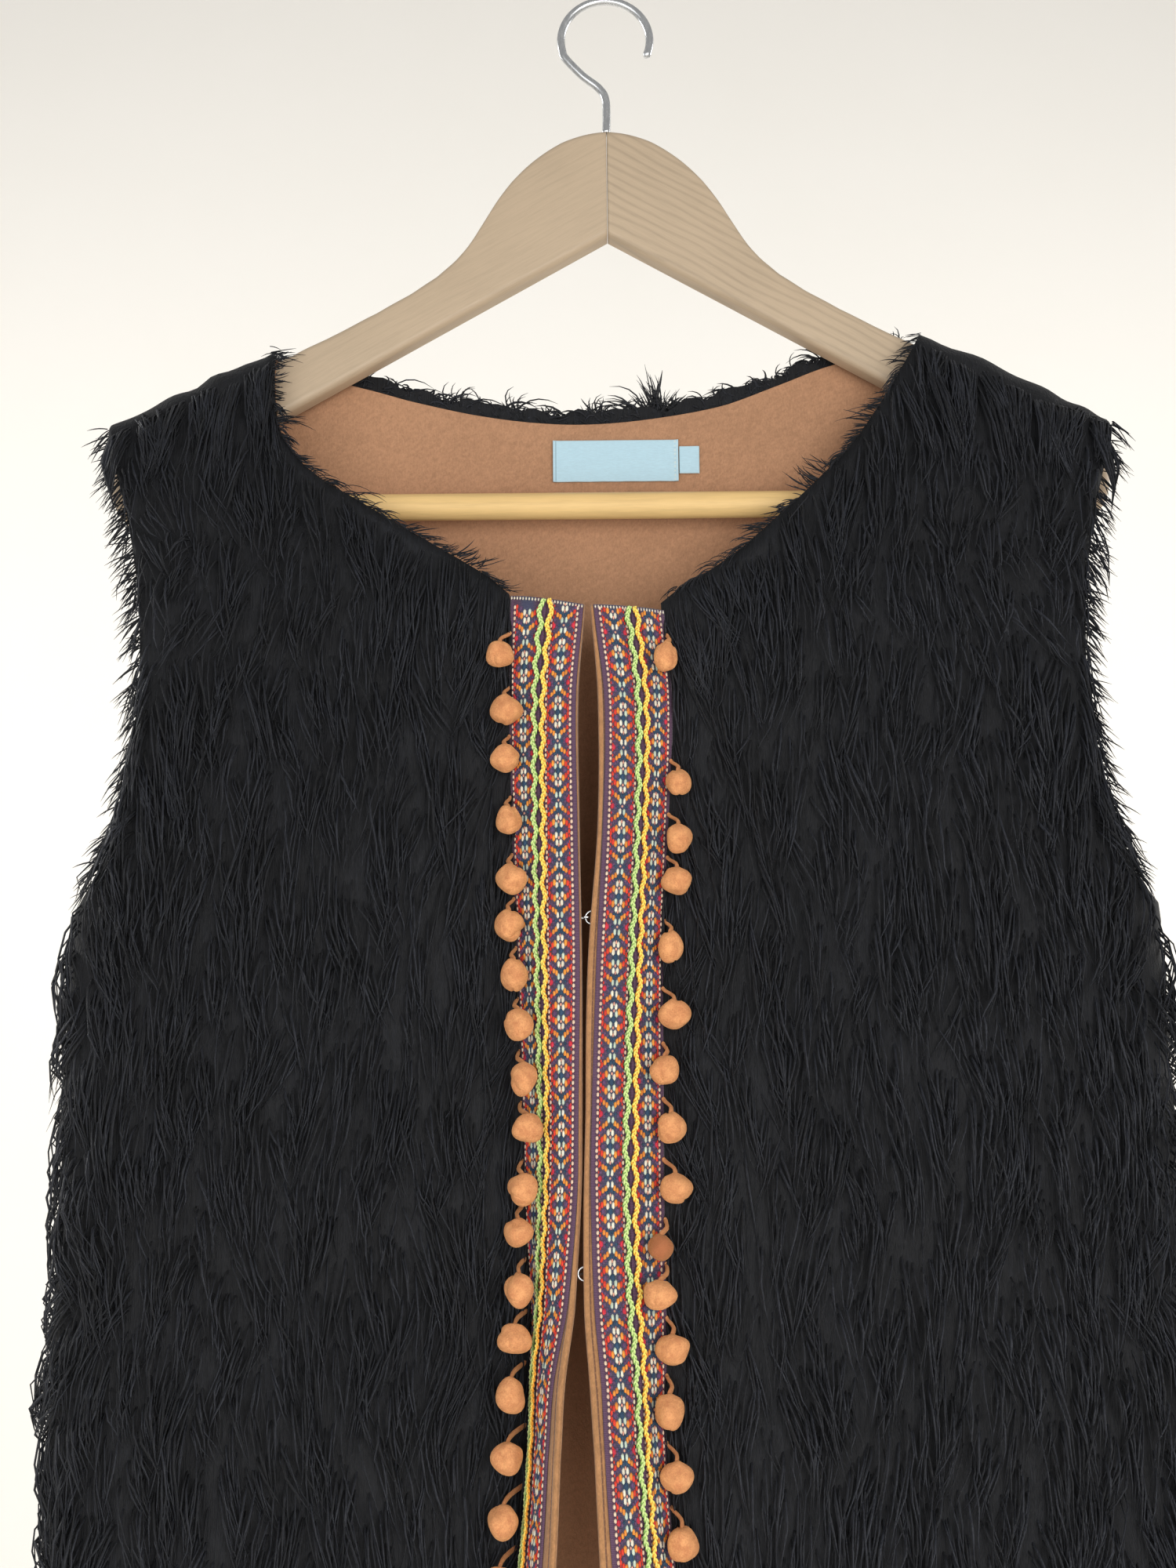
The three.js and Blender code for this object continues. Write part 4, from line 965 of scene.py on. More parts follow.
def lying_strands(surface, facing_out, across_at, share_at, share, z, rng, length, on_front, lean,
                  steps=5):
    """Locks of fur that lie down a panel. Each strand starts at a root, rises off the cloth,
    falls down and sideways with its lock, and draws together with it towards the tip. Its
    path is worked out as a sideways way and a height, then laid on the surface and lifted off it."""
    t = np.linspace(0, 1, steps)[None]
    x = across_at(share, z)
    wide, tall = 12.0, 18.0
    column = np.floor((x + 5 * np.sin(z * 0.06)) / wide)
    row = np.floor((z + 9 * np.mod(column, 2)) / tall)
    lock = [cell_noise(column, row, k) for k in range(5)]
    centre_x = (column + 0.2 + 0.6 * lock[3]) * wide
    centre_z = (row + 0.2 + 0.6 * lock[4]) * tall
    reach = length * (0.7 + 0.6 * lock[0]) * (0.85 + 0.3 * rng.random(x.shape))
    sway = 16 * (lock[1] - 0.5) + 8 * (rng.random(x.shape) - 0.5) + lean
    curl = 2.0 * rng.random(x.shape)
    phase = rng.random(x.shape) * 6.28
    draw = 0.66 * t ** 1.2
    way_x = (x[:, None] + sway[:, None] * t ** 1.5 + curl[:, None] * t * np.sin(7 * t + phase[:, None])
             + (centre_x - x)[:, None] * draw)
    way_z = z[:, None] - reach[:, None] * (0.82 * t + 0.18 * t * t) + (centre_z - z)[:, None] * draw * 0.5
    past_hem = 0.62 * (way_z - FUR_HEM_Z - 6)
    way_z = np.where(way_z < LOCKS_TURN_Z, LOCKS_TURN_Z + past_hem, way_z)
    way_share = share_at(way_x, way_z)
    if on_front:
        way_share = np.where(way_z < BAND_TOP_Z + 4, np.maximum(way_share, 0.004), way_share)
    rise = (0.62 + 0.42 * lock[2]) * (0.75 + 0.4 * rng.random(x.shape))
    edge = fur_edge(np.clip(way_share, -1, 1), way_z, FUR_HEM_Z - 60, on_front)
    up = 1 - (1 - np.minimum(t / 0.5, 1)) ** 2
    off = (LINING_THICKNESS + SEAM_GAP + 0.8
           + FUR_THICKNESS * rise[:, None] * edge * up * (1 - 0.3 * smoothstep(t, 0.5, 1)))
    limit = 1.06 if on_front else 1.03
    way_share = np.clip(way_share, -limit, limit)
    return surface(way_share, way_z) + facing_out(way_share, way_z) * off[..., None]


def free_strands(roots, heading, length, droop, curl, rng, steps=6):
    """Wisps that stand in the air: each leaves its root along its heading, turns aside along
    an arc of curl radians and bows down by a share of its length squared."""
    t = np.linspace(0, 1, steps)[None, :, None]
    long = length[:, None, None]
    aside = unit(np.cross(heading, [0.0, 1.0, 0.0]))[:, None]
    turn = np.where(np.abs(curl) < 0.01, 0.01, curl)[:, None, None]
    arc = heading[:, None] * np.sin(turn * t) + aside * (1 - np.cos(turn * t))
    loose = rng.normal(0, 0.07, (len(roots), 1, 3)) * long * t ** 1.8
    fall = np.zeros((len(roots), 1, 3))
    fall[:, 0, 2] = -droop * length
    return roots[:, None] + arc * long / turn + loose + fall * t ** 2


def front_fur(side, strands, length):
    """A front's fur: the underfur, the locks that lie on it, wisps that reach over the
    neckline and tufts that stand out at the armhole."""
    rng = scatter(11 if side == "left" else 23)
    top = float(shoulder_top(NECK[side]))
    surface, facing_out = front_panel(side)
    shares = front_shares(30)
    core = fur_core(surface, facing_out, shares, np.full(len(shares), top), 84, True)
    lying, width = front_locks(side, strands, length, rng)
    wisps, wisp_width, curl = neck_wisps(side, 300, rng)
    tufts = armhole_tufts(side, curl, rng)
    parts = [strand_tubes(lying, width, rng), strand_tubes(wisps, wisp_width, rng),
             strand_tubes(tufts, wisp_width * 1.3, rng)]
    return fur_pieces(f"front_{side}", core, parts)


def front_locks(side, strands, length, rng):
    """Roots spread evenly over a front, with more along its shoulder and side seams. They
    are drawn over the whole height and kept in proportion to the front's width there."""
    top = float(shoulder_top(NECK[side]))
    drawn, on_shoulder = int(strands * 1.7), 0.14
    z = np.where(rng.random(drawn) < on_shoulder, top - 0.2 - 9 * rng.random(drawn) ** 1.6,
                 rng.uniform(LOCKS_TURN_Z, top - 0.5, drawn))
    inner, outer, _, _ = front_span(side, z)
    span = outer - inner
    keep = rng.random(len(z)) < span / span.max()
    z, span = z[keep][:strands], span[keep][:strands]
    share = rng.random(len(z))
    above, over = z > BAND_TOP_Z - 20, z > top - 10
    share = np.where(above & ~over, share ** 1.7, 1 - (1 - share) ** np.where(over, 1.0, 1.45))
    lean = np.where((share * span < 16) & (z < BAND_TOP_Z + 10), 7.0, 0.0)

    def across_at(share, z):
        inner, outer, _, _ = front_span(side, z)
        return lerp(inner, outer, share)

    def share_at(x, z):
        inner, outer, _, _ = front_span(side, z)
        return (x - inner) / (outer - inner)

    lying = lying_strands(*front_panel(side), across_at, share_at, share, z, rng, length, True, lean)
    return lying, 0.26 + 0.34 * rng.random(len(z)) ** 2


def neck_wisps(side, count, rng):
    """Curled wisps along a front's neckline, in groups that lean and reach alike. Returns
    their paths, widths and curls."""
    surface, facing_out = front_panel(side)
    edge_z = rng.uniform(BAND_TOP_Z + 3, float(shoulder_top(NECK[side])) - 1, count)
    roots = surface(0 * edge_z + 0.004, edge_z)
    normal = facing_out(0 * edge_z + 0.01, edge_z)
    roots = roots + normal * rng.uniform(2.0, 8.0, (count, 1))
    cell = np.floor(edge_z / 7.0)
    group = cell_noise(cell, 0, 5)
    inward = np.stack([-SIGN[side] * (0.75 + 0.4 * rng.random(count)), rng.normal(0, 0.15, count) - 0.1,
                       -0.5 + 0.9 * group + rng.normal(0, 0.2, count)], -1)
    long = 5 + 13 * group * rng.random(count) ** 1.5
    curl = 1.8 * (cell_noise(cell, 1, 5) - 0.5)
    wisps = free_strands(roots, unit(inward), long, 0.25, curl, rng)
    return wisps, 0.12 + 0.14 * rng.random(count), curl


def armhole_tufts(side, curl, rng):
    """Tufts that stand out and down along a front's armhole, one for each curl given."""
    surface, facing_out = front_panel(side)
    count = len(curl)
    arm_z = rng.uniform(UNDERARM_Z + 10, float(shoulder_top(NECK[side])) - 1, count)
    roots = surface(0 * arm_z + 0.995, arm_z)
    roots = roots + facing_out(0 * arm_z + 0.99, arm_z) * rng.uniform(2.0, 7.0, (count, 1))
    out = np.stack([SIGN[side] * (0.6 + 0.5 * rng.random(count)), rng.normal(-0.1, 0.2, count),
                    rng.normal(-0.7, 0.35, count)], -1)
    return free_strands(roots, unit(out), rng.uniform(6, 13, count), 0.3, 0.2 * curl, rng)


def back_fur(strands, length):
    """The back's fur: the underfur with its crest along the neckline, the locks that lie on
    it and the strands that stand up from the crest."""
    rng = scatter(37)
    shares = np.linspace(-1, 1, 110)
    x = shares * SHOULDER_END
    fade = 24
    on_neck = smoothstep(x, -NECK["left"], fade - NECK["left"])
    on_neck = on_neck * smoothstep(-x, -NECK["right"], fade - NECK["right"])
    crest = on_neck * (6.4 + 2.4 * np.sin(x * 0.19) * np.sin(x * 0.071) + 1.3 * np.sin(x * 0.37 + 1))
    core = fur_core(back_surface, back_facing, shares, back_top(shares), 46, False, crest)

    share = rng.uniform(-1, 1, strands)
    share = np.sign(share) * (1 - (1 - np.abs(share)) ** 1.4)
    down, on_shoulder = rng.random(strands), 0.12
    down = np.where(rng.random(strands) < on_shoulder, down * 0.015, down)
    z = lerp(back_top(share) - 0.3, LOCKS_TURN_Z, down)
    lying = lying_strands(back_surface, back_facing, lambda share, z: share * armhole_x(z),
                          lambda x, z: x / armhole_x(z), share, z, rng, length, False, 0 * z)
    width = 0.3 + 0.4 * rng.random(strands) ** 2
    stand, stand_width = crest_strands(2600, rng)
    return fur_pieces("back", core, [strand_tubes(lying, width, rng), strand_tubes(stand, stand_width, rng)])


def crest_strands(count, rng):
    """Strands that stand up along the back neckline. Most are short and lean anyhow. The
    long ones lean and swirl with the others of their cell, and a tall tuft stands at one place."""
    cell_width, tuft_x, tuft_spread, long_share = 5.5, 22, 6.5, 0.35
    share = rng.uniform(-NECK["left"], NECK["right"], count) / SHOULDER_END
    x = share * SHOULDER_END
    cell = np.floor((x + rng.normal(0, 1.2, count)) / cell_width)
    group, lean, bend = [cell_noise(cell, 0, k) for k in (3, 9, 4)]
    tuft = np.exp(-((x - tuft_x) / tuft_spread) ** 2)
    long_one = rng.random(count) < long_share
    roots = back_surface(share, back_top(share) - 0.5)
    roots[:, 1] += LINING_THICKNESS + rng.uniform(-0.6, 6.5, count)
    roots[:, 2] += rng.uniform(-1.0, 6.5, count)
    long = np.where(long_one, 8 + 19 * group * rng.random(count), 3 + 4.5 * rng.random(count))
    long = long + 17 * tuft * rng.random(count)
    calm = 1 - 0.85 * tuft
    aim = np.where(long_one, 2.4 * (lean - 0.5), rng.normal(0, 1.4, count)) * calm
    heading = np.stack([aim + rng.normal(0, 0.16, count), np.abs(rng.normal(0, 0.35, count)),
                        0.8 + 0.4 * rng.random(count)], -1)
    swirl = np.sign(bend - 0.5) * (0.7 + 1.2 * rng.random(count))
    curl = np.where(long_one, swirl, rng.normal(0, 1.2, count)) * calm
    curl = curl + rng.normal(0, 0.15, count)
    stand = free_strands(roots, unit(heading), long, 0.3 * (1 - tuft), curl, rng)
    return stand, 0.27 + 0.22 * rng.random(count) ** 2


def fur_pieces(name, core, parts):
    """The underfur, and all the strands that stand in it."""
    points, faces, _ = joined([(p, f) for p, f, _ in parts])
    tone = np.concatenate([tone for _, _, tone in parts])
    # The underfur gets tone 0, the darkest fur colour: painted shade deep in the fur.
    return (mesh_piece(f"underfur_{name}", *core, tone=np.zeros(len(core[0]))),
            mesh_piece(f"fur_{name}", points, faces, tone=tone))


# Bands

def strip_grid(side, across, low, high, bottom, count):
    """Wall along a band: across gives the places over its width for each height, and low
    and high how far its two faces stand off."""
    t = np.linspace(0, 1, count)[:, None]
    margin = lookup(BAND[side], "margin", lerp(BAND_TOP_Z, bottom, t))
    w = across(margin)
    z = lerp(ribbon_top(side, w - margin), bottom, t)
    near, _ = band_point(side, w, z, low)
    far, _ = band_point(side, w, z, high)
    return near, far, w, z


def edge_piece(side):
    """The folded suede edge: flat under the ribbons, rolled like half a pipe at the front."""
    turn = np.linspace(-np.pi / 2, 0, 7)
    roll = EDGE_NOSE * np.sin(turn)
    share = np.concatenate([np.linspace(0, 1, 7)[1:], 1 + np.linspace(0, 1, 14)[1:]])
    half = EDGE_THICKNESS / 2

    def across(margin):
        inner = roll[None] * lerp(0.2, 1, smoothstep(margin, 0.3, 2.0))
        first = np.minimum(share, 1)[None] * margin
        rest = np.maximum(share - 1, 0)[None] * BAND_WIDTH
        return np.concatenate([inner, first + rest], 1)

    open_ = np.concatenate([half * np.cos(turn), np.full(len(share), half)])
    puff = np.concatenate([np.zeros(len(turn)), 0.25 * np.sin(np.pi * np.minimum(share, 1))])
    near, far, w, z = strip_grid(side, across, half - open_[None], half + open_[None] + puff[None],
                                 LINING_HEM_Z, 200)
    points, faces = wall(near, far)
    uv = np.tile(np.stack([w, z], -1).reshape(-1, 2), (2, 1))
    return mesh_piece(f"suede_edge_{side}", points, faces, uv=uv)


def stitches(side, w, z, wide, tall, high, raise_):
    """Raised threads lying down the band, each of them one STITCH stretched to its size."""
    across, along, up = STITCH.T
    points, _ = band_point(side, w[:, None] + across * wide[:, None], z[:, None] + along * tall[:, None],
                           raise_ + up * high)
    first = np.arange(len(w)) * len(STITCH)
    faces = (first[:, None, None] + STITCH_FACES[None]).reshape(-1, 3)
    if SIGN[side] > 0:
        faces = faces[:, ::-1]
    return points.reshape(-1, 3), [faces]


def motif_threads(side, which):
    """Every raised thread of a ribbon: places across and down, sizes and colour codes."""
    found = []
    middle = RIBBON_WIDTH / 2
    fuller_wide, fuller_tall = THREAD_FULLNESS
    starts = np.arange(BAND_TOP_Z - MOTIF_START[side, which] + 2 * MOTIF_REPEAT, LINING_HEM_Z, -MOTIF_REPEAT)
    for row in MOTIF:
        crosses = (1, -1) if row["across"] else (1,)
        downs = (1, -1) if row["along"] not in (0, MOTIF_REPEAT / 2) else (1,)
        for cross, down in itertools.product(crosses, downs):
            found.append((middle + cross * row["across"], starts - down * row["along"],
                          row["wide"] * fuller_wide, row["tall"] * fuller_tall, row["code"]))
    z = np.arange(BAND_TOP_Z, LINING_HEM_Z, -DOT_PITCH)
    for place, beside in ((DOT_PLACE, DOT_PLACE + 0.85),
                          (RIBBON_WIDTH - DOT_PLACE, RIBBON_WIDTH - DOT_PLACE - 0.85)):
        found.append((place, z, 1.35, 2.15, "dot"))
        found.append((beside, z - DOT_PITCH / 2, 0.7, 1.7, "R"))
    w, z, wide, tall = [np.concatenate([part[k] + 0 * part[1] for part in found]) for k in range(4)]
    codes = np.concatenate([np.full(len(part[1]), part[4]) for part in found])
    keep = (z + tall / 2 < ribbon_top(side, w)) & (z - tall / 2 > LINING_HEM_Z)
    return w[keep], z[keep], wide[keep], tall[keep], codes[keep]


def ribbon_piece(side, which):
    """A woven ribbon: a thin ribbed ground with purple selvedges, and every thread that
    shows on its face as a raised stitch coloured from the motif."""
    start = 0.0 if which == "inner" else RIBBON_WIDTH + SEAM_GAP
    low = EDGE_THICKNESS + SEAM_GAP
    face = low + RIBBON_THICKNESS - GROUND_BELOW_FACE
    place = np.linspace(0, RIBBON_WIDTH, 17)
    near, far, across, down = strip_grid(side, lambda m: m + start + place[None], low + 0 * place[None],
                                         face + 0 * place[None], LINING_HEM_Z, 110)
    rng = scatter({"left": 3, "right": 5}[side] + (which == "inner"))
    w, z, wide, tall, codes = motif_threads(side, which)
    palette = {name: np.array(paint(*colour)) for name, colour in THREADS.items()}
    colour = np.array([palette[code] for code in codes])
    swap = (codes == "M") & (rng.random(len(codes)) < 0.4)
    colour[swap] = palette["C"]
    colour[:, :3] *= rng.uniform(0.84, 1.12, (len(colour), 1))

    count = int(RIBBON_WIDTH / END_STITCH["pitch"])
    end_w = (np.arange(count) + 0.5) * RIBBON_WIDTH / count
    w = np.concatenate([w + rng.normal(0, 0.03, len(w)), end_w])
    z = np.concatenate([z + rng.normal(0, 0.07, len(z)), ribbon_top(side, end_w + start) - 1.0])
    wide = np.concatenate([wide, np.full(count, END_STITCH["wide"])])
    tall = np.concatenate([tall, np.full(count, END_STITCH["tall"])])
    colour = np.concatenate([colour, np.tile(palette["C"], (count, 1))])
    margin = lookup(BAND[side], "margin", z)
    raised = stitches(side, margin + start + w, z, wide, tall, STITCH_HEIGHT, face - 0.05)
    points, faces, counts = joined([wall(near, far), raised])

    selvedge, field, heart = [np.array(paint(*c)) for c in GROUND_COLOURS.values()]
    rim = smoothstep(np.minimum(place, RIBBON_WIDTH - place), 1.4, 1.9)[:, None]
    core = (1 - smoothstep(np.abs(place - RIBBON_WIDTH / 2), 1.5, 4.5))[:, None]
    row_colour = lerp(lerp(selvedge, field, rim), heart, core * rim)
    ground_colour = np.tile(row_colour, (2 * len(near), 1))
    colour = np.concatenate([ground_colour, np.repeat(np.clip(colour, 0, 1), len(STITCH), 0)])
    tone = np.concatenate([np.zeros(counts[0]), np.ones(counts[1])])
    grid_uv = np.tile(np.stack([across, down], -1).reshape(-1, 2), (2, 1))
    stitch_uv = np.repeat(np.stack([w, z], -1), len(STITCH), 0)
    return mesh_piece(f"woven_ribbon_{side}_{which}", points, faces, tone=tone, colour=colour,
                      uv=np.concatenate([grid_uv, stitch_uv]))


def cord_piece(side, which, name, diameter):
    """One cord of the braid, plaited from three plies. Its middle line swings away from the
    band's middle and back in a slightly rounded zigzag; round it each ply goes sideways by a
    sine and in and out by a sine of twice the angle."""
    away = 1 if which == "outer" else -1
    top = ribbon_top(side, BAND_WIDTH / 2) - 0.6
    repeats = int((top - LINING_HEM_Z) / BRAID_REPEAT)
    steps, sides, straight = repeats * 16, 5, 0.65
    i = np.linspace(0, 2 * repeats, steps)
    z = top - i * BRAID_REPEAT / 2
    zigzag = lerp(0.5 - 0.5 * np.cos(np.pi * i), 1 - np.abs(np.mod(i, 2) - 1), straight)
    apart = lerp(*BRAID_SWING, zigzag)
    middle = lookup(BAND[side], "margin", z) + RIBBON_WIDTH + SEAM_GAP / 2
    raise_ = EDGE_THICKNESS + RIBBON_THICKNESS + 2 * SEAM_GAP + 0.55 * diameter
    path, normal = band_point(side, middle + away * apart, z, raise_)
    along = unit(np.gradient(path, axis=0))
    beside = unit(np.cross(along, normal))
    length = np.concatenate([[0], np.cumsum(np.linalg.norm(np.diff(path, axis=0), axis=1))])
    phase = 2 * np.pi * length / PLAIT_PITCH
    plies = []
    for k in range(PLIES):
        turn = (phase + 2 * np.pi * k / PLIES)[:, None]
        sideways = beside * 0.36 * diameter * np.sin(turn)
        plies.append(path + sideways + normal * 0.2 * diameter * np.sin(2 * turn))
    points, faces = tubes(np.stack(plies), np.full((PLIES, steps), 0.235 * diameter), sides)
    rings = points.reshape(PLIES, steps, sides, 3)
    # Each point's height off the cord's middle becomes its tone, which the cord's material turns into
    # painted shade between the plies.
    height = np.sum((rings - path[None, :, None]) * normal[None, :, None], -1)
    tone = smoothstep(height.ravel(), -0.1 * diameter, 0.42 * diameter)
    return mesh_piece(f"braid_cord_{side}_{name}", points, faces, tone=tone)


# Pompoms

def ball(centre, toward, wide, tall, rng):
    """A ball of gathered felt: a sphere about its stem's line, drawn in by pleats near the
    stem, with a few soft dents, and as wide and tall as the one it stands for."""
    around, down = 30, 21
    a = np.linspace(0, np.pi, down)[:, None]
    b = np.linspace(0, 2 * np.pi, around, endpoint=False)[None]
    pleats = 0.12 * np.clip(np.cos(a), 0, 1) ** 1.5 * np.abs(np.sin(2.5 * b + rng.random() * 6))
    phases = rng.random(6) * 6.28
    dents = (0.05 * np.sin(2 * b + 3 * a + phases[0]) + 0.04 * np.sin(3 * b - 2 * a + phases[1])
             + 0.05 * np.sin(a * 4 + phases[2]) * np.sin(b + phases[3])) * np.sin(a)
    fold = np.angle(np.exp(1j * (b - phases[4] - 0.5 * np.sin(a * 2 + phases[5]))))
    crease = 0.13 * np.exp(-(fold / 0.2) ** 2) * np.sin(a) ** 0.5
    radius = 1 - pleats + dents - crease
    local = np.stack([radius * np.sin(a) * np.cos(b), radius * np.sin(a) * np.sin(b),
                      radius * np.cos(a) + 0 * b], -1)
    axis = unit(toward)
    side = unit(np.cross(axis, [0.0, 1.0, 0.0]))
    third = np.cross(axis, side)
    points = local @ np.stack([side, third, axis])
    points = points * (np.array([wide, (wide + tall) / 2, tall]) / 2) + centre
    index = np.arange(points.size // 3).reshape(points.shape[:2])
    index[0], index[-1] = index[0, 0], index[-1, 0]
    closed = np.concatenate([index, index[:, :1]], 1)
    quads = grid_quads(closed)
    flat = points.reshape(-1, 3)
    middle = quads[around:-around]
    turned = outward(flat, middle)
    first, last = quads[:around][:, [0, 2, 3]], quads[-around:][:, [0, 1, 2]]
    if turned is not middle:
        first, last = first[:, ::-1], last[:, ::-1]
    return flat, [turned, first, last]


def pompoms_piece(side, stem):
    """A row of pompoms on their stems. Each hangs as far forward as its node, and the ones
    past the last node as far as the one before them; a stem leaves the band's outer edge."""
    parts, tones = [], []
    rng = scatter(51 if side == "left" else 67)
    rest = 0.0
    for number, row in enumerate(POMPOMS[side], 1):
        w = float(lookup(BAND[side], "margin", row["z"])) + BAND_WIDTH
        edge, _ = band_point(side, w, row["z"], 0.0)
        if number <= POMPOM_NODES:
            low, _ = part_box(f"pompom_{side}_{number:02d}")
            rest = low.y / MM + POMPOM_HALF_DEPTH - edge[1]
        centre = np.array([SIGN[side] * row["x"], edge[1] + rest, row["z"]])
        raise_ = EDGE_THICKNESS + SEAM_GAP + RIBBON_THICKNESS + 0.6
        anchor, normal = band_point(side, w - 0.6, row["z"] + row["tall"] / 2 + STEM_RISE, raise_)
        made = ball(centre, anchor - centre + [0, 0, 4], row["wide"], row["tall"], rng)
        neck = centre + [0, 0, 0.42 * row["tall"]]
        sewn = anchor + [-SIGN[side] * 0.5, 0, 1.4]
        bowed = lerp(anchor, neck, 0.5) + normal * 0.5 + [SIGN[side] * 1.1, 0, 0]
        line = smooth_path([sewn, anchor, bowed, neck, centre], len(STEM_TAPER))
        tail = tubes(line[None], np.array(STEM_TAPER)[None] * stem / 2, 8, up=normal, flat=1.5)
        points, faces, counts = joined([made, tail])
        parts.append((points, faces))
        turned = 0.9 if (side, number) == TURNED_POMPOM else 0.12 * rng.random()
        tones.append(np.concatenate([np.full(counts[0], turned), np.full(counts[1], 0.45)]))
    points, faces, _ = joined(parts)
    return mesh_piece(f"pompoms_{side}", points, faces, tone=np.concatenate(tones))


# Clasps and labels

def clasp_pieces(name, z):
    """A hook behind the left edge that passes through a ring behind the right one."""
    radius = CLASP_WIRE / 2
    left, _ = band_point("left", 0.0, z)
    right, _ = band_point("right", 0.0, z)
    carrier, _ = band_point("right", CLASP_RING, z)
    plane = max(left[1], carrier[1]) + radius + SEAM_GAP
    around, sides, hook_steps = 40, 10, 60
    angle = np.linspace(0, 2 * np.pi, around, endpoint=False)
    turn = np.linspace(0, 2 * np.pi, sides, endpoint=False)
    ring = CLASP_RING + radius * np.cos(turn)[None]
    points = np.stack([right[0] - 0.2 + ring * np.cos(angle)[:, None],
                       plane + radius * np.sin(turn)[None] + 0 * angle[:, None],
                       z + ring * np.sin(angle)[:, None]], -1)
    index = np.arange(around * sides).reshape(around, sides)
    index = np.concatenate([index, index[:1]])
    index = np.concatenate([index, index[:, :1]], 1)
    flat = points.reshape(-1, 3)
    eye = mesh_piece(f"{name}_eye_wire", flat, outward(flat, grid_quads(index)))
    sewn = [band_point("left", w, z, -radius - SEAM_GAP)[0] for w in (9.0, 4.0)]
    bent = [(right[0] - before, plane + off * CLASP_PASS, z)
            for before, off in ((3, 1), (1.7, 0.8), (1, 0), (1.7, -0.8))]
    path = smooth_path([*sewn, *bent, (left[0] + 1.1, plane - CLASP_PASS, z)], hook_steps)
    wire = tubes(path[None], np.full((1, hook_steps), radius), sides, up=(0, 0, 1))
    return eye, mesh_piece(f"{name}_hook_wire", *wire)


def label_piece(name, size, fold):
    """A woven label: a thin bowed sheet with a folded end at each side, sewn down by a line
    of stitches on the left and a dashed one on the right."""
    left, right, top, bottom = size["left"], size["right"], size["top"], size["bottom"]
    pitch, thickness = 0.45, 0.5
    x = np.linspace(left, right, int((right - left) / pitch) + 2)[None]
    z = np.linspace(top, bottom, int((top - bottom) / pitch) + 2)[:, None]
    x, z = np.broadcast_arrays(x, z)
    from_end = np.minimum(x - left, right - x)
    from_rim = np.minimum(from_end, np.minimum(top - z, z - bottom))
    bow = 0.5 * np.sin(np.pi * (z - bottom) / (top - bottom)) * smoothstep(from_end, 0, 6)
    folded = 0.45 * (1 - smoothstep(from_end, fold - 0.4, fold))
    stitch = 0.3 * (1 - smoothstep(np.abs(from_end - 0.55 * fold), 0.1, 0.6))
    raise_ = 2 * SEAM_GAP + bow + 0.12 * np.sin(x * 0.5) * np.sin(z * 0.6)
    y = depth_at(x, z, "back")
    low = np.stack([x, y - raise_, z], -1)
    high = np.stack([x, y - raise_ - thickness - folded + stitch, z], -1)
    points, faces = wall(low, high)
    hem = 0.5 * (1 - smoothstep(from_rim, 0.15, 0.5))
    seam = fold > 0
    left_line = seam * (1 - smoothstep(np.abs(x - left - 1.3), 0.15, 0.5))
    right_line = seam * (1 - smoothstep(np.abs(right - x - 1.5), 0.2, 0.55))
    dashes = right_line * (np.mod(z, 1.9) < 1.2)
    tone = np.clip(0.5 + 0.35 * hem + 0.4 * dashes - 0.4 * left_line - 0.15 * right_line, 0, 1)
    uv = np.stack([x - (left + right) / 2, z - (top + bottom) / 2], -1).reshape(-1, 2)
    return mesh_piece(name, points, faces, uv=np.tile(uv, (2, 1)), tone=np.tile(tone.ravel(), 2))


# Sizes and colours that a user may change

class VestSizes(bpy.types.PropertyGroup):
    """Sizes of the vest's soft trimmings"""
    fur_length: bpy.props.FloatProperty(
        name="Fur Length", description="Length of one lock of fur", default=0.034, unit="LENGTH")
    fur_strands: bpy.props.IntProperty(
        name="Fur Strands", description="Strands of fur on each front", default=5900)
    cord_diameter: bpy.props.FloatProperty(
        name="Cord Diameter", description="Thickness of the braid's cords", default=0.002, unit="LENGTH")
    stem_diameter: bpy.props.FloatProperty(
        name="Stem Diameter", description="Thickness of the pompoms' stems", default=0.0015, unit="LENGTH")
    arm_rounding: bpy.props.FloatProperty(
        name="Hanger Rounding", description="Radius of the hanger's edges", default=0.0036, unit="LENGTH")


def colour_property(name, description, red, green, blue):
    return bpy.props.FloatVectorProperty(name=name, description=description, subtype="COLOR", size=4,
                                         min=0.0, max=1.0, default=paint(red, green, blue))


class VestColours(bpy.types.PropertyGroup):
    """Colours of the vest's cloths, fur and hanger"""
    wood: colour_property("Wood", "The hanger's arms", 184, 164, 139)
    bar: colour_property("Bar", "The hanger's bar", 228, 192, 130)
    suede: colour_property("Suede", "The lining", 174, 132, 102)
    folded_edge: colour_property("Folded Edge", "The folded suede front edges", 182, 134, 92)
    seam: colour_property("Seam", "The stitch line of the front edges", 116, 80, 62)
    fur: colour_property("Fur", "The fur", 24, 26, 32)
    felt: colour_property("Felt", "The pompoms", 255, 170, 116)
    turned_felt: colour_property("Turned Felt", "The wrong side of one pompom and the stems", 172, 104, 70)
    lime: colour_property("Lime", "The lime cord", 218, 240, 158)
    # Painted shade of the lime cord, deep between its plies.
    lime_painted_shade: colour_property("Lime Painted Shade", "Painted shade of the lime cord between its plies", 128, 172, 84)
    yellow: colour_property("Yellow", "The yellow cord", 255, 234, 112)
    # Painted shade of the yellow cord, deep between its plies.
    yellow_painted_shade: colour_property("Yellow Painted Shade", "Painted shade of the yellow cord between its plies", 236, 158, 46)
    label: colour_property("Label", "The woven label", 188, 220, 234)
    label_edge: colour_property("Label Edge", "The label's woven rim", 226, 226, 214)


class BuildStep(bpy.types.Operator):
    """One step of building the vest"""
    bl_idname = "vest.step"
    bl_label = "Build Step"

    def settings(self, context):
        return context.scene.vest_sizes, context.scene.vest_colours


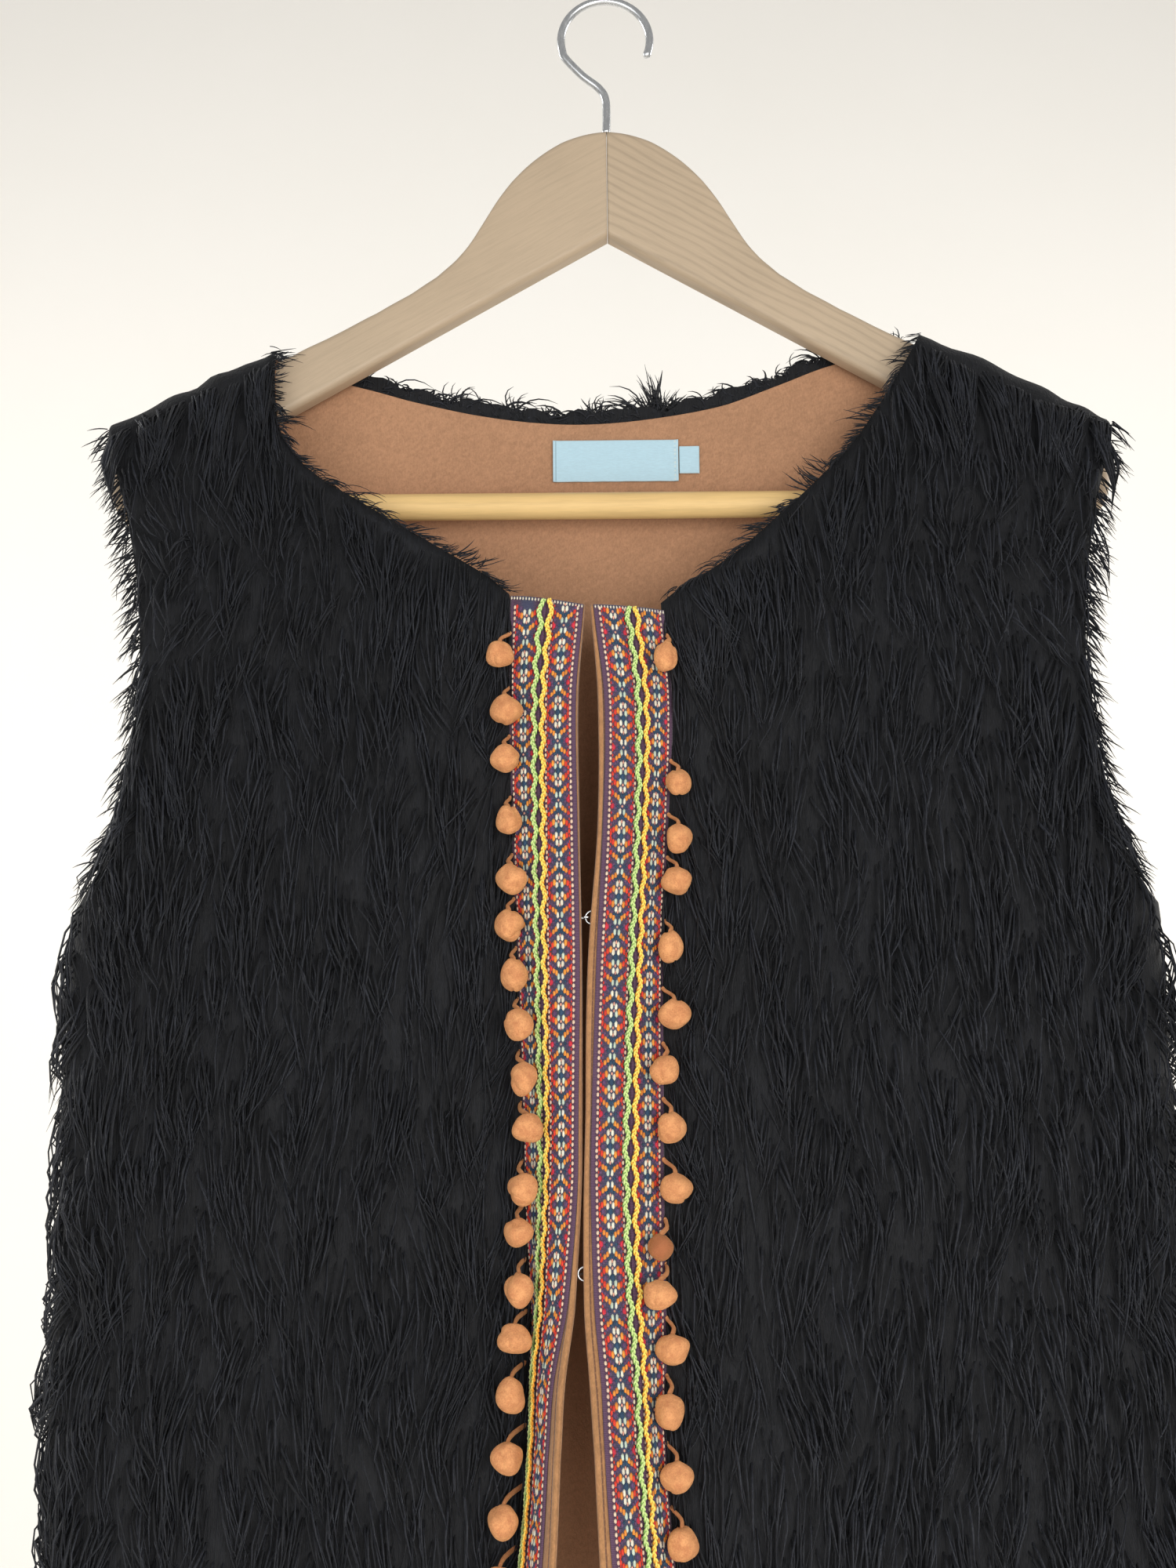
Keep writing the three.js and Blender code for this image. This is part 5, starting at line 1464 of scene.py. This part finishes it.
class BuildHanger(BuildStep):
    """Builds the wooden hanger, its bar and its wire hook"""
    bl_idname = "vest.build_hanger"
    bl_label = "Hanger"

    def execute(self, context):
        sizes, colours = self.settings(context)
        for side, turn, figure in (("left", 0.53, 0.06), ("right", -0.53, 0.24)):
            arm = arm_piece(side, sizes.arm_rounding / MM)
            wood = wood_finish(f"wood_{side}", tuple(colours.wood), turn, figure)
            finish_piece(arm, wood, [f"hanger_arm_{side}"])
        finish_piece(bar_piece(), wood_finish("wood_bar", tuple(colours.bar), 0.0, 0.12),
                     ["hanger_bar"])
        finish_piece(hook_piece(), steel_finish("hook_steel_wire"), ["hanger_hook"])
        return {"FINISHED"}


class BuildLining(BuildStep):
    """Builds the suede lining of the back and both fronts"""
    bl_idname = "vest.build_lining"
    bl_label = "Lining"

    def execute(self, context):
        _, colours = self.settings(context)
        suede = suede_finish("suede_cloth", tuple(colours.suede))
        shares = np.linspace(-1, 1, 91)
        back = lining_piece("lining_back", back_surface, back_facing, shares, back_top(shares), 70)
        finish_piece(back, suede, ["back_lining"])
        shares = front_shares(40)
        for side in SIDES:
            top = np.full(len(shares), float(shoulder_top(NECK[side])))
            front = lining_piece(f"lining_front_{side}", *front_panel(side), shares, top, 90)
            finish_piece(front, suede, [f"front_{side}_lining"])
        return {"FINISHED"}


class BuildFur(BuildStep):
    """Builds the fur of the back and both fronts"""
    bl_idname = "vest.build_fur"
    bl_label = "Fur"

    def execute(self, context):
        sizes, colours = self.settings(context)
        fur = fur_finish("black_fur_strands", tuple(colours.fur))
        length = sizes.fur_length / MM
        pelt, hair = back_fur(int(sizes.fur_strands * BACK_STRANDS), length * BACK_LENGTH)
        self.cover(fur, pelt, hair, "back", (0.48, 0.60), 0.26)
        for side in SIDES:
            pelt, hair = front_fur(side, sizes.fur_strands, length)
            self.cover(fur, pelt, hair, f"front_{side}", (0.25, 0.60), 0.11)
        return {"FINISHED"}

    def cover(self, fur, pelt, hair, panel, flat, area):
        for piece in (pelt, hair):
            finish_piece(piece, fur, [f"{panel}_fur"])


class BuildBands(BuildStep):
    """Builds the folded edges, the woven ribbons and the braids of both fronts"""
    bl_idname = "vest.build_bands"
    bl_label = "Bands"

    def execute(self, context):
        sizes, colours = self.settings(context)
        edge = edge_finish("suede_fold", tuple(colours.folded_edge), tuple(colours.seam))
        ribbon = ribbon_finish("ribbon_threads")
        lime = cord_finish("lime_yarn", tuple(colours.lime), tuple(colours.lime_painted_shade))
        yellow = cord_finish("yellow_yarn", tuple(colours.yellow), tuple(colours.yellow_painted_shade))
        for side in SIDES:
            finish_piece(edge_piece(side), edge, [f"front_{side}_edge"])
            for which in ("inner", "outer"):
                finish_piece(ribbon_piece(side, which), ribbon, [f"ribbon_{side}_{which}"])
            for name, yarn in (("lime", lime), ("yellow", yellow)):
                which = "outer" if (side == "left") == (name == "lime") else "inner"
                cord = cord_piece(side, which, name, sizes.cord_diameter / MM)
                finish_piece(cord, yarn, [f"braid_{side}_{name}"])
        return {"FINISHED"}


class BuildPompoms(BuildStep):
    """Builds the felt pompoms along both bands"""
    bl_idname = "vest.build_pompoms"
    bl_label = "Pompoms"

    def execute(self, context):
        sizes, colours = self.settings(context)
        felt = felt_finish("orange_felt", tuple(colours.felt), tuple(colours.turned_felt))
        for side in SIDES:
            nodes = [f"pompom_{side}_{k:02d}" for k in range(1, POMPOM_NODES + 1)]
            finish_piece(pompoms_piece(side, sizes.stem_diameter / MM), felt, nodes)
        return {"FINISHED"}


class BuildTrims(BuildStep):
    """Builds the hook-and-eye clasps, the label and the size tab"""
    bl_idname = "vest.build_trims"
    bl_label = "Clasps and Labels"

    def execute(self, context):
        _, colours = self.settings(context)
        steel = steel_finish("clasp_wire")
        for name, z in CLASPS.items():
            eye, hook = clasp_pieces(name, z)
            finish_piece(eye, steel, [f"{name}_eye"])
            finish_piece(hook, steel, [f"{name}_hook"])
        cloth = label_finish("label_weave", tuple(colours.label), tuple(colours.label_edge))
        finish_piece(label_piece("label_satin", LABEL, 1.9), cloth, ["label"])
        finish_piece(label_piece("size_tab_satin", SIZE_TAB, 0.0), cloth, ["size_tab"])
        return {"FINISHED"}


def sweep_piece():
    """A floor that curves up into a backdrop: flat, then a quarter circle, then upright."""
    turn = np.linspace(0, np.pi / 2, 24)
    y = np.concatenate([[-4000, -1000], WALL_Y - SWEEP_RADIUS + SWEEP_RADIUS * np.sin(turn), [WALL_Y]])
    z = np.concatenate([[0, 0], SWEEP_RADIUS * (1 - np.cos(turn)), [WALL_HEIGHT]]) + FLOOR_Z
    x = np.linspace(-SWEEP_WIDTH / 2, SWEEP_WIDTH / 2, 2)
    points = np.stack([x[None] + 0 * y[:, None], y[:, None] + 0 * x[None], z[:, None] + 0 * x[None]], -1)
    index = np.arange(points.size // 3).reshape(points.shape[:2])
    return mesh_piece("studio_sweep", points.reshape(-1, 3), grid_quads(index))


def area_light(name, place, target, size, power, colour):
    """A round lamp in metres and watts, tipped from straight down by its pitch and then
    swung to its heading, so that it shines at the target."""
    light = bpy.data.lights.new(name, "AREA")
    light.shape, light.size, light.energy, light.color = "DISK", size, power, colour
    lamp = bpy.data.objects.new(name, light)
    direction = np.asarray(target) - np.asarray(place)
    pitch = math.atan2(math.hypot(direction[0], direction[1]), -direction[2])
    heading = math.atan2(-direction[0], direction[1])
    lamp.matrix_world = (Matrix.Translation(place) @ Matrix.Rotation(heading, 4, "Z")
                         @ Matrix.Rotation(pitch, 4, "X"))
    bpy.context.scene.collection.objects.link(lamp)


class BuildStage(BuildStep):
    """Builds the pale studio, its lights and the camera"""
    bl_idname = "vest.build_stage"
    bl_label = "Stage"

    def execute(self, context):
        scene = context.scene
        paper = Shader("studio_paper", Roughness=1.0, Specular_IOR_Level=0.0)
        grain = paper.noise(paper.place(), 3, 2)
        sweep = sweep_piece()
        sweep.data.materials.append(paper.set(Base_Color=paper.mix(
            grain, paint(242, 239, 233), paint(244, 241, 236))))
        world = bpy.data.worlds.new("studio_air")
        world.use_nodes = True
        air = world.node_tree.nodes["Background"]
        air.inputs["Color"].default_value = (1.0, 0.985, 0.96, 1)
        air.inputs["Strength"].default_value = AIR_STRENGTH
        scene.world = world
        for lamp in LAMPS:
            area_light(*lamp.values())
        scene.view_settings.view_transform = "Standard"
        camera = bpy.data.cameras.new("view")
        camera.sensor_width = 36
        camera.lens = CAMERA["lens"]
        eye = bpy.data.objects.new("view", camera)
        eye.matrix_world = (Matrix.Translation(CAMERA["place"])
                            @ Matrix.Rotation(math.radians(CAMERA["tilt"]), 4, "X")
                            @ Matrix.Rotation(math.radians(CAMERA["roll"]), 4, "Z"))
        scene.collection.objects.link(eye)
        scene.camera = eye
        return {"FINISHED"}


STEPS = (BuildStage, BuildHanger, BuildLining, BuildFur, BuildBands, BuildPompoms, BuildTrims)


class VestPanel(bpy.types.Panel):
    """Lists the vest's sizes, colours and building steps"""
    bl_idname = "VIEW3D_PT_vest"
    bl_label = "Fur Vest"
    bl_space_type = "VIEW_3D"
    bl_region_type = "UI"
    bl_category = "Vest"

    def draw(self, context):
        for group in (context.scene.vest_sizes, context.scene.vest_colours):
            column = self.layout.column(align=True)
            for name in group.__annotations__:
                column.prop(group, name)
        for step in STEPS:
            self.layout.operator(step.bl_idname)


CLASSES = (VestSizes, VestColours, *STEPS, VestPanel)


def register():
    for cls in CLASSES:
        bpy.utils.register_class(cls)
    bpy.types.Scene.vest_sizes = bpy.props.PointerProperty(type=VestSizes)
    bpy.types.Scene.vest_colours = bpy.props.PointerProperty(type=VestColours)


def unregister():
    del bpy.types.Scene.vest_colours
    del bpy.types.Scene.vest_sizes
    for cls in reversed(CLASSES):
        bpy.utils.unregister_class(cls)


def main():
    register()
    for step in STEPS:
        category, name = step.bl_idname.split(".")
        getattr(getattr(bpy.ops, category), name)()


if __name__ == "__main__":
    main()
